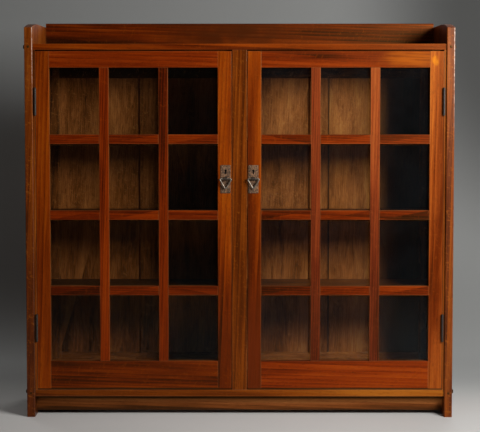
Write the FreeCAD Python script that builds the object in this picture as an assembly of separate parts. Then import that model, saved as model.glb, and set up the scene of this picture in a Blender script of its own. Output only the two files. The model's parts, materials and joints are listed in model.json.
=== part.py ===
import FreeCAD, Part
import math
import os

# Double door bookcase in oak with a low gallery, two twelve-pane doors and hammered drop pulls.
# Millimetres, origin on the floor under the middle of the case, +X right, +Y to the back, +Z up.
# Left-hand pieces are modelled, and right-hand ones are their mirror image.

V = FreeCAD.Vector

# Case
CASE_WIDTH = 1524.0
CASE_DEPTH = 330.0
SIDE_HEIGHT = 1411.0
SIDE_THICKNESS = 28.5
SIDE_TOP_FALL = 18.0
SIDE_TOP_RUN = 140.0
SIDE_EDGE_EASE = 2.5
TOP_BOARD_DROP = 76.0
TOP_BOARD_THICKNESS = 21.0
BOTTOM_BOARD_THICKNESS = 24.0
BOARD_RECESS = 6.0
GALLERY_RISE = 14.0
GALLERY_THICKNESS = 22.0
GALLERY_EASE = 4.0
GALLERY_REBATE = 6.0
TOE_SPACE_HEIGHT = 74.0
TOE_FLOOR_GAP = 15.0
TOE_SETBACK = 45.0
TOE_THICKNESS = 20.0
TOE_HOUSING = 6.0

# Pinned through tenons of the top and bottom boards
TENON_WIDTH = 75.0
TENON_THICKNESS = 13.0
TENON_SETBACK = 30.0
TENON_PROUD = 9.0
TENON_CHAMFER = 2.5
TENON_PIN_DIAMETER = 8.0
TENON_PIN_LENGTH = 80.0

# Centre of the case and door jambs
PARTITION_THICKNESS = 20.0
PARTITION_HOUSING = 6.0
PARTITION_TONGUE_WIDTH = 8.0
PARTITION_TONGUE_DEPTH = 6.0
CENTER_STILE_WIDTH = 52.0
STRIP_WIDTH = 8.0
STRIP_DEPTH = 24.0
STOP_HEIGHT = 16.0
STOP_DEPTH = 12.0

# Framed and panelled back
BACK_THICKNESS = 19.0
BACK_RABBET = 10.0
BACK_STILE_SIGHT = 48.6
BACK_TOP_RAIL = 95.0
BACK_BOTTOM_RAIL = 71.5
BACK_MUNTIN_WIDTH = 79.0
LEFT_MUNTIN_CENTER = -345.0
RIGHT_MUNTIN_CENTER = 302.0
BACK_CHAMFER = 6.0
PANEL_THICKNESS = 6.0
PANEL_GROOVE_DEPTH = 9.0
PANEL_GROOVE_SETBACK = 8.0
PANEL_PLAY = 0.8

# Shelves and their pegs
SHELF_THICKNESS = 19.0
SHELF_DROP = 4.0
SHELF_SETBACK = 10.0
SHELF_END_PLAY = 0.6
PEG_DIAMETER = 9.0
PEG_FLAT = 3.5
PEG_SEAT = 8.0
PEG_REACH = 12.0
PEG_INSET = 45.0

# Doors
DOOR_RECESS = 6.0
DOOR_THICKNESS = 22.0
DOOR_TOP_GAP = 5.0
DOOR_BOTTOM_GAP = 4.0
HINGE_GAP = 1.2
MEETING_GAP = 2.5
DOOR_STILE_WIDTH = 48.6
DOOR_TOP_RAIL = 58.0
DOOR_BOTTOM_RAIL = 100.0
UPRIGHT_BAR_WIDTH = 33.7
CROSS_BAR_WIDTH = 33.4
PANE_COLUMNS = 3
PANE_ROWS = 4
REBATE_WIDTH = 8.0
FACE_LIP = 10.0
RAIL_TENON_LENGTH = 30.0
BAR_TENON_LENGTH = 7.0
SASH_TENON_THICKNESS = 7.0
SASH_TENON_SETBACK = 5.0
SASH_TENON_SHOULDER = 2.0
GLASS_THICKNESS = 3.0
GLASS_PLAY = 0.8
BEAD_WIDTH = 7.5

# Butt hinges
HINGE_LENGTH = 95.0
HINGE_TOP_DROP = 131.0
HINGE_BOTTOM_RISE = 172.0
KNUCKLE_DIAMETER = 9.0
KNUCKLE_COUNT = 5
KNUCKLE_GAP = 0.3
KNUCKLE_STANDOFF = 0.5
HINGE_PIN_DIAMETER = 4.5
PIN_HEAD_DIAMETER = 7.0
PIN_HEAD_HEIGHT = 2.5
PIN_HEAD_CHAMFER = 1.0
LEAF_THICKNESS = 2.0
LEAF_REACH = 22.0
LEAF_GAP = 0.4

# Locks
LOCK_DEPTH = 34.0
LOCK_THICKNESS = 10.0
LOCK_RISE = 32.0
LOCK_FALL = 26.0
LOCK_FACE_THICKNESS = 2.0
LOCK_FACE_WIDTH = 15.0
LOCK_FACE_OVERHANG = 12.0
BOLT_LENGTH = 22.0
BOLT_HEIGHT = 12.0
BOLT_THICKNESS = 5.0
BOLT_RISE = 17.0
BOLT_TRAVEL = 9.0
BOLT_SETBACK = 0.5
STRIKE_CLEARANCE = 0.6
KEYHOLE_DIAMETER = 7.0
KEY_SLOT_WIDTH = 4.0
KEY_SLOT_LENGTH = 11.0

# Drop pulls
PLATE_WIDTH = 36.0
PLATE_HEIGHT = 100.0
PLATE_THICKNESS = 2.0
PLATE_CORNER = 2.0
PULL_RISE = 753.0
PULL_INSET = 21.0
KEYHOLE_RISE = 30.0
BAIL_RISE = 2.0
BAIL_STANDOFF = 8.0
BAIL_SPREAD = 44.0
BAIL_DROP = 38.0
BAIL_BAR = 5.5
BAIL_CORNER = 3.5
BAIL_END_GAP = 2.0
EYE_WIDTH = 12.0
EYE_DIAMETER = 11.0

# Clearances
FIT = 0.1
SLIDE_FIT = 0.3
PIVOT_FIT = 0.1
OVERCUT = 1.0

# Planes and lines that the pieces share
FRONT = -CASE_DEPTH / 2
BACK = CASE_DEPTH / 2
SIDE_OUTER = CASE_WIDTH / 2
SIDE_INNER = SIDE_OUTER - SIDE_THICKNESS
TOP_BOARD_TOP = SIDE_HEIGHT - TOP_BOARD_DROP
TOP_BOARD_LOW = TOP_BOARD_TOP - TOP_BOARD_THICKNESS
BOTTOM_BOARD_TOP = TOE_SPACE_HEIGHT + BOTTOM_BOARD_THICKNESS
BACK_FACE = BACK - BACK_THICKNESS
DOOR_FACE = FRONT + DOOR_RECESS
DOOR_REAR = DOOR_FACE + DOOR_THICKNESS
DOOR_LOW = BOTTOM_BOARD_TOP + DOOR_BOTTOM_GAP
DOOR_TOP = TOP_BOARD_LOW - DOOR_TOP_GAP
DOOR_OUTER = -SIDE_INNER + STRIP_WIDTH + HINGE_GAP
DOOR_INNER = -CENTER_STILE_WIDTH / 2 - MEETING_GAP
HINGE_X = DOOR_OUTER - HINGE_GAP / 2
HINGE_Y = DOOR_FACE - KNUCKLE_DIAMETER / 2 - KNUCKLE_STANDOFF
SASH_LOW = DOOR_LOW + DOOR_BOTTOM_RAIL
SASH_TOP = DOOR_TOP - DOOR_TOP_RAIL
SASH_OUTER = DOOR_OUTER + DOOR_STILE_WIDTH
SASH_INNER = DOOR_INNER - DOOR_STILE_WIDTH
PANE_WIDTH = (SASH_INNER - SASH_OUTER - (PANE_COLUMNS - 1) * UPRIGHT_BAR_WIDTH) / PANE_COLUMNS
PANE_HEIGHT = (SASH_TOP - SASH_LOW - (PANE_ROWS - 1) * CROSS_BAR_WIDTH) / PANE_ROWS
PANE_PITCH_X = PANE_WIDTH + UPRIGHT_BAR_WIDTH
PANE_PITCH_Z = PANE_HEIGHT + CROSS_BAR_WIDTH
GLASS_BED = DOOR_FACE + FACE_LIP
LOCK_MIDDLE = DOOR_FACE + DOOR_THICKNESS / 2
PULL_X = DOOR_INNER - PULL_INSET
PULL_Z = DOOR_LOW + PULL_RISE
KEYHOLE_Z = PULL_Z + KEYHOLE_RISE
PLATE_FACE = DOOR_FACE - PLATE_THICKNESS
BAIL_Y = PLATE_FACE - BAIL_STANDOFF
BAIL_Z = PULL_Z + BAIL_RISE


def box(x0, x1, y0, y1, z0, z1):
    """Block between two planes in each direction."""
    return Part.makeBox(x1 - x0, y1 - y0, z1 - z0, V(x0, y0, z0))


def prism(points, along):
    """Flat outline pushed along a vector."""
    return Part.Face(Part.makePolygon(points + points[:1])).extrude(along)


def mirrored(shape):
    """The same piece on the other hand."""
    return shape.mirror(V(0, 0, 0), V(1, 0, 0))


def pair(shape):
    """A left-hand piece and its mirror image, as separate solids."""
    return [shape, mirrored(shape)]


def joined(shapes):
    """One solid from overlapping or touching ones."""
    return shapes[0].multiFuse(shapes[1:]).removeSplitter()


def cut(shape, tools):
    """A solid less every tool."""
    return shape.cut(Part.makeCompound(tools)) if tools else shape


def group(shapes):
    """Separate solids kept in one node."""
    return Part.makeCompound(shapes)


def board_tenons(board_low, board_thickness, fit):
    """Two through tenons of a board's left end, or with a fit the mortises that take them."""
    middle = board_low + board_thickness / 2
    half = TENON_THICKNESS / 2 + fit
    reach = -SIDE_OUTER - TENON_PROUD
    tenons = []
    for y0 in (FRONT + TENON_SETBACK, BACK - TENON_SETBACK - TENON_WIDTH):
        tenon = box(reach, -SIDE_INNER, y0 - fit, y0 + TENON_WIDTH + fit, middle - half, middle + half)
        tenons.append(tenon)
    return tenons


def chamfered_end(tenon):
    """Tenon with the arrises of its show end taken off."""
    reach = tenon.BoundBox.XMin
    rim = [e for e in tenon.Edges if abs(e.BoundBox.XMax - reach) < FIT]
    return tenon.makeChamfer(TENON_CHAMFER, rim)


def tenon_pins(board_low, board_thickness, fit):
    """Pins driven through the left tenons from the side's front and back edges, or their holes."""
    x = -SIDE_OUTER + SIDE_THICKNESS / 2
    z = board_low + board_thickness / 2
    radius = TENON_PIN_DIAMETER / 2 + fit
    length = TENON_PIN_LENGTH + fit
    front_pin = Part.makeCylinder(radius, length, V(x, FRONT, z), V(0, 1, 0))
    back_pin = Part.makeCylinder(radius, length, V(x, BACK, z), V(0, -1, 0))
    return [front_pin, back_pin]


CROSS_BAR_CENTERS = [SASH_LOW + row * PANE_PITCH_Z - CROSS_BAR_WIDTH / 2 for row in range(1, PANE_ROWS)]
SHELF_TOPS = [z - SHELF_DROP for z in CROSS_BAR_CENTERS]
SHELF_FRONT = DOOR_REAR + SHELF_SETBACK
SHELF_BACK = BACK_FACE - SHELF_END_PLAY
PEG_ROWS = (SHELF_FRONT + PEG_INSET, SHELF_BACK - PEG_INSET)
BOARDS = ((TOP_BOARD_LOW, TOP_BOARD_THICKNESS), (TOE_SPACE_HEIGHT, BOTTOM_BOARD_THICKNESS))


def shelf_pegs(fit):
    """Pegs under the left-hand shelves, flat where the shelf rests, or the holes that they stand in."""
    pegs = []
    radius = PEG_DIAMETER / 2 + fit
    faces = ((-SIDE_INNER, 1), (-PARTITION_THICKNESS / 2, -1))
    for top in SHELF_TOPS:
        z = top - SHELF_THICKNESS - PEG_FLAT
        for y in PEG_ROWS:
            for face, out in faces:
                root = V(face - out * (PEG_SEAT + fit), y, z)
                peg = Part.makeCylinder(radius, PEG_SEAT + PEG_REACH + fit, root, V(out, 0, 0))
                tip = face + out * (PEG_REACH + OVERCUT)
                rest = box(min(face, tip), max(face, tip), y - radius, y + radius,
                           z + PEG_FLAT, z + PEG_DIAMETER)
                pegs.append(peg if fit else peg.cut(rest))
    return pegs


def side():
    """Left side: a slab with a curved top edge, cut for all that is let into it."""
    front_top = SIDE_HEIGHT - SIDE_TOP_FALL
    radius = (SIDE_TOP_RUN ** 2 + SIDE_TOP_FALL ** 2) / (2 * SIDE_TOP_FALL)
    half_turn = math.asin(SIDE_TOP_RUN / radius) / 2
    x = -SIDE_OUTER
    crown = V(x, FRONT + SIDE_TOP_RUN, SIDE_HEIGHT)
    on_curve = crown + V(0, -radius * math.sin(half_turn), radius * (math.cos(half_turn) - 1))
    nose = V(x, FRONT, front_top)
    toe, heel, crest = V(x, FRONT, 0), V(x, BACK, 0), V(x, BACK, SIDE_HEIGHT)
    curve = Part.Arc(crown, on_curve, nose).toShape()
    runs = [Part.makeLine(nose, toe), Part.makeLine(toe, heel), Part.makeLine(heel, crest)]
    outline = Part.Wire([curve] + runs + [Part.makeLine(crest, crown)])
    slab = Part.Face(outline).extrude(V(SIDE_THICKNESS, 0, 0))
    eased = []
    for edge in slab.Edges:
        middle = edge.CenterOfMass
        across = edge.BoundBox.XLength > FIT
        at_nose = across and (edge.Vertexes[0].Point - nose).Length < SIDE_THICKNESS + FIT
        on_outline = not across and middle.z > FIT and middle.y < BACK - FIT
        if at_nose or on_outline:
            eased.append(edge)
    slab = slab.makeFillet(SIDE_EDGE_EASE, eased)
    tools = shelf_pegs(FIT)
    for low, thickness in BOARDS:
        tools += board_tenons(low, thickness, FIT) + tenon_pins(low, thickness, FIT)
    rabbet = -SIDE_INNER - BACK_RABBET
    tools.append(box(rabbet, -SIDE_INNER + OVERCUT, BACK_FACE, BACK + OVERCUT,
                     BOTTOM_BOARD_TOP, TOP_BOARD_LOW))
    toe_front = FRONT + TOE_SETBACK
    tools.append(box(-SIDE_INNER - TOE_HOUSING - FIT, -SIDE_INNER + OVERCUT, toe_front - FIT,
                     toe_front + TOE_THICKNESS + FIT, TOE_FLOOR_GAP - FIT, TOE_SPACE_HEIGHT))
    return cut(slab, tools)


def tenoned_board(low, thickness, housing_low):
    """Top or bottom board with pinned tenons at both ends and a housing for the partition."""
    body = box(-SIDE_INNER, SIDE_INNER, FRONT + BOARD_RECESS, BACK, low, low + thickness)
    ends = [chamfered_end(tenon) for tenon in board_tenons(low, thickness, 0)]
    board = joined([body] + ends + [mirrored(end) for end in ends])
    half = PARTITION_THICKNESS / 2 + FIT
    housing = box(-half, half, DOOR_REAR - FIT, BACK_FACE, housing_low, housing_low + PARTITION_HOUSING)
    holes = tenon_pins(low, thickness, FIT)
    return cut(board, [housing] + holes + [mirrored(hole) for hole in holes])


def toe_board():
    """Set-back board that closes the toe space, let into both sides."""
    end = SIDE_INNER + TOE_HOUSING
    y0 = FRONT + TOE_SETBACK
    return box(-end, end, y0, y0 + TOE_THICKNESS, TOE_FLOOR_GAP, TOE_SPACE_HEIGHT)


def top_board():
    """Top board with a rebate along its back edge that the gallery board stands in."""
    board = tenoned_board(TOP_BOARD_LOW, TOP_BOARD_THICKNESS, TOP_BOARD_LOW)
    rebate = box(-SIDE_INNER, SIDE_INNER, BACK - GALLERY_THICKNESS, BACK + OVERCUT,
                 TOP_BOARD_TOP - GALLERY_REBATE, TOP_BOARD_TOP + OVERCUT)
    return cut(board, [rebate])


def gallery_board():
    """Low back board that stands in the top board, with its long top arrises eased."""
    y0 = BACK - GALLERY_THICKNESS
    top = SIDE_HEIGHT + GALLERY_RISE
    board = box(-SIDE_INNER, SIDE_INNER, y0, BACK, TOP_BOARD_TOP - GALLERY_REBATE, top)
    arrises = [e for e in board.Edges if e.BoundBox.ZMin > top - FIT and e.BoundBox.YLength < FIT]
    return board.makeFillet(GALLERY_EASE, arrises)


def partition():
    """Upright between the two bays, housed in both boards and tongued into the centre stile."""
    half = PARTITION_THICKNESS / 2
    low = BOTTOM_BOARD_TOP - PARTITION_HOUSING
    panel = box(-half, half, DOOR_REAR, BACK_FACE, low, TOP_BOARD_LOW + PARTITION_HOUSING)
    half_tongue = PARTITION_TONGUE_WIDTH / 2
    tongue = box(-half_tongue, half_tongue, DOOR_REAR - PARTITION_TONGUE_DEPTH, DOOR_REAR,
                 BOTTOM_BOARD_TOP, TOP_BOARD_LOW)
    holes = shelf_pegs(FIT)
    return cut(joined([panel, tongue]), holes + [mirrored(hole) for hole in holes])


def bolt_block(reach, fit):
    """Space of the left bolt out to a given reach past the door's edge, with a clearance all round."""
    tip = DOOR_INNER - BOLT_SETBACK
    half_y = BOLT_THICKNESS / 2 + fit
    half_z = BOLT_HEIGHT / 2 + fit
    z = KEYHOLE_Z + BOLT_RISE
    return box(tip - BOLT_LENGTH - fit, tip + reach + fit, LOCK_MIDDLE - half_y, LOCK_MIDDLE + half_y,
               z - half_z, z + half_z)


def center_stile():
    """Stile between the doors, grooved behind for the partition and mortised for both bolts."""
    half = CENTER_STILE_WIDTH / 2
    stile = box(-half, half, DOOR_FACE, DOOR_REAR, BOTTOM_BOARD_TOP, TOP_BOARD_LOW)
    half_groove = PARTITION_TONGUE_WIDTH / 2 + FIT
    groove = box(-half_groove, half_groove, DOOR_REAR - PARTITION_TONGUE_DEPTH - FIT, DOOR_REAR + OVERCUT,
                 BOTTOM_BOARD_TOP, TOP_BOARD_LOW)
    return cut(stile, [groove] + pair(bolt_block(BOLT_TRAVEL, STRIKE_CLEARANCE)))


HINGE_LOWS = (DOOR_TOP - HINGE_TOP_DROP - HINGE_LENGTH, DOOR_LOW + HINGE_BOTTOM_RISE)


def leaf_plate(z0, hand, fit):
    """Flat of a hinge leaf, or its mortise. Hand is -1 on the strip and 1 on the door."""
    inner = HINGE_X + hand * LEAF_GAP / 2
    outer = inner + hand * (LEAF_THICKNESS + fit)
    if fit:
        inner = HINGE_X
    return box(min(inner, outer), max(inner, outer), HINGE_Y, HINGE_Y + LEAF_REACH + fit,
               z0 - fit, z0 + HINGE_LENGTH + fit)


def hinge_leaf(z0, hand, first):
    """One leaf with every second knuckle, bored for the pin."""
    axis = V(0, 0, 1)
    pitch = HINGE_LENGTH / KNUCKLE_COUNT
    own, other = [], []
    for i in range(KNUCKLE_COUNT):
        low = z0 + i * pitch
        if i % 2 == first:
            base = V(HINGE_X, HINGE_Y, low + KNUCKLE_GAP / 2)
            own.append(Part.makeCylinder(KNUCKLE_DIAMETER / 2, pitch - KNUCKLE_GAP, base, axis))
        else:
            base = V(HINGE_X, HINGE_Y, low - KNUCKLE_GAP / 2)
            other.append(Part.makeCylinder(KNUCKLE_DIAMETER / 2 + SLIDE_FIT, pitch + KNUCKLE_GAP, base, axis))
    plate = leaf_plate(z0, hand, 0).cut(Part.makeCompound(other))
    bore_base = V(HINGE_X, HINGE_Y, z0 - OVERCUT)
    bore = Part.makeCylinder(HINGE_PIN_DIAMETER / 2 + PIVOT_FIT, HINGE_LENGTH + 2 * OVERCUT, bore_base, axis)
    return joined([plate] + own).cut(bore)


def hinge_pin(z0):
    """Pin through the knuckles with a chamfered button at each end."""
    axis = V(0, 0, 1)
    shank = Part.makeCylinder(HINGE_PIN_DIAMETER / 2, HINGE_LENGTH, V(HINGE_X, HINGE_Y, z0), axis)
    button = Part.makeCylinder(PIN_HEAD_DIAMETER / 2, PIN_HEAD_HEIGHT)
    rim = [e for e in button.Edges if e.BoundBox.ZMin > FIT and e.BoundBox.ZLength < FIT]
    button = button.makeChamfer(PIN_HEAD_CHAMFER, rim)
    head = button.translated(V(HINGE_X, HINGE_Y, z0 + HINGE_LENGTH))
    foot = button.mirror(V(0, 0, 0), axis).translated(V(HINGE_X, HINGE_Y, z0))
    return joined([shank, head, foot])


def hanging_strip():
    """Jamb strip on the left side that carries the fixed hinge leaves."""
    strip = box(-SIDE_INNER, -SIDE_INNER + STRIP_WIDTH, DOOR_FACE, DOOR_FACE + STRIP_DEPTH,
                BOTTOM_BOARD_TOP, TOP_BOARD_LOW)
    return cut(strip, [leaf_plate(z0, -1, FIT) for z0 in HINGE_LOWS])


def door_stop():
    """Strip under the top board that the left door closes against."""
    y0 = DOOR_REAR + SLIDE_FIT
    return box(-SIDE_INNER + STRIP_WIDTH, -CENTER_STILE_WIDTH / 2, y0, y0 + STOP_DEPTH,
               TOP_BOARD_LOW - STOP_HEIGHT, TOP_BOARD_LOW)


BACK_STILE_EDGE = SIDE_INNER - BACK_STILE_SIGHT
BACK_LOW = BOTTOM_BOARD_TOP + BACK_BOTTOM_RAIL
BACK_HIGH = TOP_BOARD_LOW - BACK_TOP_RAIL
BACK_MUNTINS = {"left": LEFT_MUNTIN_CENTER, "center": 0.0, "right": RIGHT_MUNTIN_CENTER}


def back_openings():
    """Left and right edges of the panel openings between stiles and muntins."""
    edges = [-BACK_STILE_EDGE]
    for center in sorted(BACK_MUNTINS.values()):
        edges += [center - BACK_MUNTIN_WIDTH / 2, center + BACK_MUNTIN_WIDTH / 2]
    edges.append(BACK_STILE_EDGE)
    return list(zip(edges[0::2], edges[1::2]))


def back_cutters():
    """What every back member loses round a panel: the groove and a mitred chamfer on the show side."""
    y0 = BACK_FACE + PANEL_GROOVE_SETBACK
    cutters = []
    for x0, x1 in back_openings():
        depth = PANEL_GROOVE_DEPTH
        cutters.append(box(x0 - depth, x1 + depth, y0 - FIT, y0 + PANEL_THICKNESS + FIT,
                           BACK_LOW - depth, BACK_HIGH + depth))
        rims = []
        for grow, y in ((BACK_CHAMFER, BACK_FACE), (0, BACK_FACE + BACK_CHAMFER)):
            left, right, low, high = x0 - grow, x1 + grow, BACK_LOW - grow, BACK_HIGH + grow
            corners = [V(left, y, low), V(right, y, low), V(right, y, high), V(left, y, high)]
            rims.append(Part.makePolygon(corners + corners[:1]))
        cutters.append(Part.makeLoft(rims, True, True))
    return cutters


def back_tongue(x0, x1, z0, z1):
    """Stub tenon as thick as the panels, which fits the same groove."""
    y0 = BACK_FACE + PANEL_GROOVE_SETBACK
    return box(x0, x1, y0, y0 + PANEL_THICKNESS, z0, z1)


def back_stile():
    """Left stile of the back in its rabbet, grooved from end to end for panel and rails."""
    outer = -SIDE_INNER - BACK_RABBET + FIT
    edge = -BACK_STILE_EDGE
    stile = box(outer, edge, BACK_FACE, BACK, BOTTOM_BOARD_TOP, TOP_BOARD_LOW)
    groove = back_tongue(edge - PANEL_GROOVE_DEPTH, edge, BOTTOM_BOARD_TOP, TOP_BOARD_LOW)
    return cut(stile, [groove] + back_cutters())


def back_rail(z0, z1, groove_z0):
    """Top or bottom rail of the back, tongued into the stiles and grooved for panels and muntins."""
    rail = box(-BACK_STILE_EDGE, BACK_STILE_EDGE, BACK_FACE, BACK, z0, z1)
    reach = BACK_STILE_EDGE + PANEL_GROOVE_DEPTH - FIT
    tongued = joined([rail, back_tongue(-reach, reach, z0, z1)])
    groove = back_tongue(-reach, reach, groove_z0, groove_z0 + PANEL_GROOVE_DEPTH)
    return cut(tongued, [groove] + back_cutters())


def back_muntin(center):
    """Upright between two back panels, tongued into both rails."""
    half = BACK_MUNTIN_WIDTH / 2
    muntin = box(center - half, center + half, BACK_FACE, BACK, BACK_LOW, BACK_HIGH)
    reach = PANEL_GROOVE_DEPTH - FIT
    half_web = half - PANEL_GROOVE_DEPTH
    tongue = back_tongue(center - half_web, center + half_web, BACK_LOW - reach, BACK_HIGH + reach)
    return joined([cut(muntin, back_cutters()), tongue])


def back_panels():
    """Panels that float in the grooves."""
    grow = PANEL_GROOVE_DEPTH - PANEL_PLAY
    return [back_tongue(x0 - grow, x1 + grow, BACK_LOW - grow, BACK_HIGH + grow)
            for x0, x1 in back_openings()]


def shelf(top):
    """Left-hand shelf with its top at a given height."""
    outer = -SIDE_INNER + SHELF_END_PLAY
    inner = -PARTITION_THICKNESS / 2 - SHELF_END_PLAY
    return box(outer, inner, SHELF_FRONT, SHELF_BACK, top - SHELF_THICKNESS, top)


def pane_openings():
    """Sight openings of the left door as x and z limits, column by column."""
    openings = []
    for column in range(PANE_COLUMNS):
        x0 = SASH_OUTER + column * PANE_PITCH_X
        for row in range(PANE_ROWS):
            z0 = SASH_LOW + row * PANE_PITCH_Z
            openings.append((x0, x0 + PANE_WIDTH, z0, z0 + PANE_HEIGHT))
    return openings


def sash_tenon(x0, x1, z0, z1, fit=0):
    """Tenon in the thickness of a door member, or its mortise."""
    y0 = DOOR_FACE + SASH_TENON_SETBACK
    return box(x0 - fit, x1 + fit, y0 - fit, y0 + SASH_TENON_THICKNESS + fit, z0 - fit, z1 + fit)


def rail_tenon(z0, z1, fit=0):
    """Tenon of a door rail that runs into both stiles, kept clear of the rebate and of the door's end."""
    shoulder = REBATE_WIDTH + SASH_TENON_SHOULDER
    x0, x1 = SASH_OUTER - RAIL_TENON_LENGTH, SASH_INNER + RAIL_TENON_LENGTH
    return sash_tenon(x0, x1, z0 + shoulder, z1 - shoulder, fit)


def upright_x(index):
    """Left edge of an upright bar."""
    return SASH_OUTER + PANE_WIDTH + index * PANE_PITCH_X


def upright_tenon(index, fit=0):
    """Stub tenons of an upright bar, which run past both its ends into the rails."""
    shoulder = REBATE_WIDTH + SASH_TENON_SHOULDER
    x0 = upright_x(index)
    return sash_tenon(x0 + shoulder, x0 + UPRIGHT_BAR_WIDTH - shoulder, SASH_LOW - BAR_TENON_LENGTH,
                      SASH_TOP + BAR_TENON_LENGTH, fit)


def cross_tenon(column, center, fit=0):
    """Stub tenons of a cross bar, which run past both its ends into stile and bar."""
    half = CROSS_BAR_WIDTH / 2 - REBATE_WIDTH - SASH_TENON_SHOULDER
    x0 = SASH_OUTER + column * PANE_PITCH_X
    x1 = x0 + PANE_WIDTH
    return sash_tenon(x0 - BAR_TENON_LENGTH, x1 + BAR_TENON_LENGTH, center - half, center + half, fit)


def rebates():
    """Glass rebates cut from behind, one round each opening."""
    grow = REBATE_WIDTH
    return [box(x0 - grow, x1 + grow, GLASS_BED, DOOR_REAR + OVERCUT, z0 - grow, z1 + grow)
            for x0, x1, z0, z1 in pane_openings()]


def cross_mortises(column):
    """Mortises for the cross bars of one column of panes."""
    return [cross_tenon(column, center, FIT) for center in CROSS_BAR_CENTERS]


def rail_mortises():
    """Mortises for the tenons of both door rails."""
    return [rail_tenon(DOOR_LOW, SASH_LOW, FIT), rail_tenon(SASH_TOP, DOOR_TOP, FIT)]


def key_passage():
    """Keyhole from the plate into the lock: a round hole over a slot."""
    y0 = PLATE_FACE - OVERCUT
    depth = LOCK_MIDDLE - y0
    eye = Part.makeCylinder(KEYHOLE_DIAMETER / 2, depth, V(PULL_X, y0, KEYHOLE_Z), V(0, 1, 0))
    half = KEY_SLOT_WIDTH / 2
    slot = box(PULL_X - half, PULL_X + half, y0, LOCK_MIDDLE, KEYHOLE_Z - KEY_SLOT_LENGTH, KEYHOLE_Z)
    return joined([eye, slot])


def lock_body(fit):
    """Lock let into the meeting edge of the left door with its face plate flush, or its mortise."""
    low, high = KEYHOLE_Z - LOCK_FALL, KEYHOLE_Z + LOCK_RISE
    half = LOCK_THICKNESS / 2 + fit
    case = box(DOOR_INNER - LOCK_DEPTH - fit, DOOR_INNER, LOCK_MIDDLE - half, LOCK_MIDDLE + half,
               low - fit, high + fit)
    half_face = LOCK_FACE_WIDTH / 2 + fit
    face = box(DOOR_INNER - LOCK_FACE_THICKNESS - fit, DOOR_INNER,
               LOCK_MIDDLE - half_face, LOCK_MIDDLE + half_face,
               low - LOCK_FACE_OVERHANG - fit, high + LOCK_FACE_OVERHANG + fit)
    return joined([case, face])


def hinge_stile():
    """Outer stile of the left door with hinge, rail and bar mortises."""
    stile = box(DOOR_OUTER, SASH_OUTER, DOOR_FACE, DOOR_REAR, DOOR_LOW, DOOR_TOP)
    leaves = [leaf_plate(z0, 1, FIT) for z0 in HINGE_LOWS]
    return cut(stile, rebates() + rail_mortises() + cross_mortises(0) + leaves)


def lock_stile():
    """Meeting stile of the left door with lock, rail and bar mortises and the keyhole."""
    stile = box(SASH_INNER, DOOR_INNER, DOOR_FACE, DOOR_REAR, DOOR_LOW, DOOR_TOP)
    lock_tools = [lock_body(FIT), key_passage()]
    return cut(stile, rebates() + rail_mortises() + cross_mortises(PANE_COLUMNS - 1) + lock_tools)


def door_rail(z0, z1):
    """Rail of the left door between the stiles, tenoned into them and mortised for the upright bars."""
    rail = joined([box(SASH_OUTER, SASH_INNER, DOOR_FACE, DOOR_REAR, z0, z1), rail_tenon(z0, z1)])
    return cut(rail, rebates() + [upright_tenon(i, FIT) for i in range(PANE_COLUMNS - 1)])


def upright_bar(index):
    """Bar from rail to rail, rebated on both edges and mortised for the cross bars."""
    x0 = upright_x(index)
    bar = box(x0, x0 + UPRIGHT_BAR_WIDTH, DOOR_FACE, DOOR_REAR, SASH_LOW, SASH_TOP)
    tools = rebates() + cross_mortises(index) + cross_mortises(index + 1)
    return cut(joined([bar, upright_tenon(index)]), tools)


def cross_bars():
    """Short bars between the uprights, rebated on both edges."""
    bars = []
    for column in range(PANE_COLUMNS):
        x0 = SASH_OUTER + column * PANE_PITCH_X
        for center in CROSS_BAR_CENTERS:
            bar = box(x0, x0 + PANE_WIDTH, DOOR_FACE, DOOR_REAR,
                      center - CROSS_BAR_WIDTH / 2, center + CROSS_BAR_WIDTH / 2)
            bars.append(cut(joined([bar, cross_tenon(column, center)]), rebates()))
    return bars


def panes():
    """Glass of the left door on its bed in the rebates."""
    grow = REBATE_WIDTH - GLASS_PLAY
    y0 = GLASS_BED + FIT
    return [box(x0 - grow, x1 + grow, y0, y0 + GLASS_THICKNESS, z0 - grow, z1 + grow)
            for x0, x1, z0, z1 in pane_openings()]


def glazing_beads():
    """Mitred strips behind the glass, four to a pane."""
    y0 = GLASS_BED + GLASS_THICKNESS + 2 * FIT
    along = V(0, DOOR_REAR - y0, 0)
    beads = []
    for x0, x1, z0, z1 in pane_openings():
        rims = []
        for grow in (REBATE_WIDTH - FIT, REBATE_WIDTH - FIT - BEAD_WIDTH):
            left, right, low, high = x0 - grow, x1 + grow, z0 - grow, z1 + grow
            rims.append([V(left, y0, low), V(right, y0, low), V(right, y0, high), V(left, y0, high)])
        outer, inner = rims
        for i in range(4):
            j = (i + 1) % 4
            beads.append(prism([outer[i], outer[j], inner[j], inner[i]], along))
    return beads


def lock_case():
    """Lock with its face plate, slotted for the bolt and open for the key."""
    return cut(lock_body(0), [bolt_block(BOLT_TRAVEL, SLIDE_FIT), key_passage()])


def lock_bolt():
    """Bolt drawn back inside the lock."""
    return bolt_block(0, 0)


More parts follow.
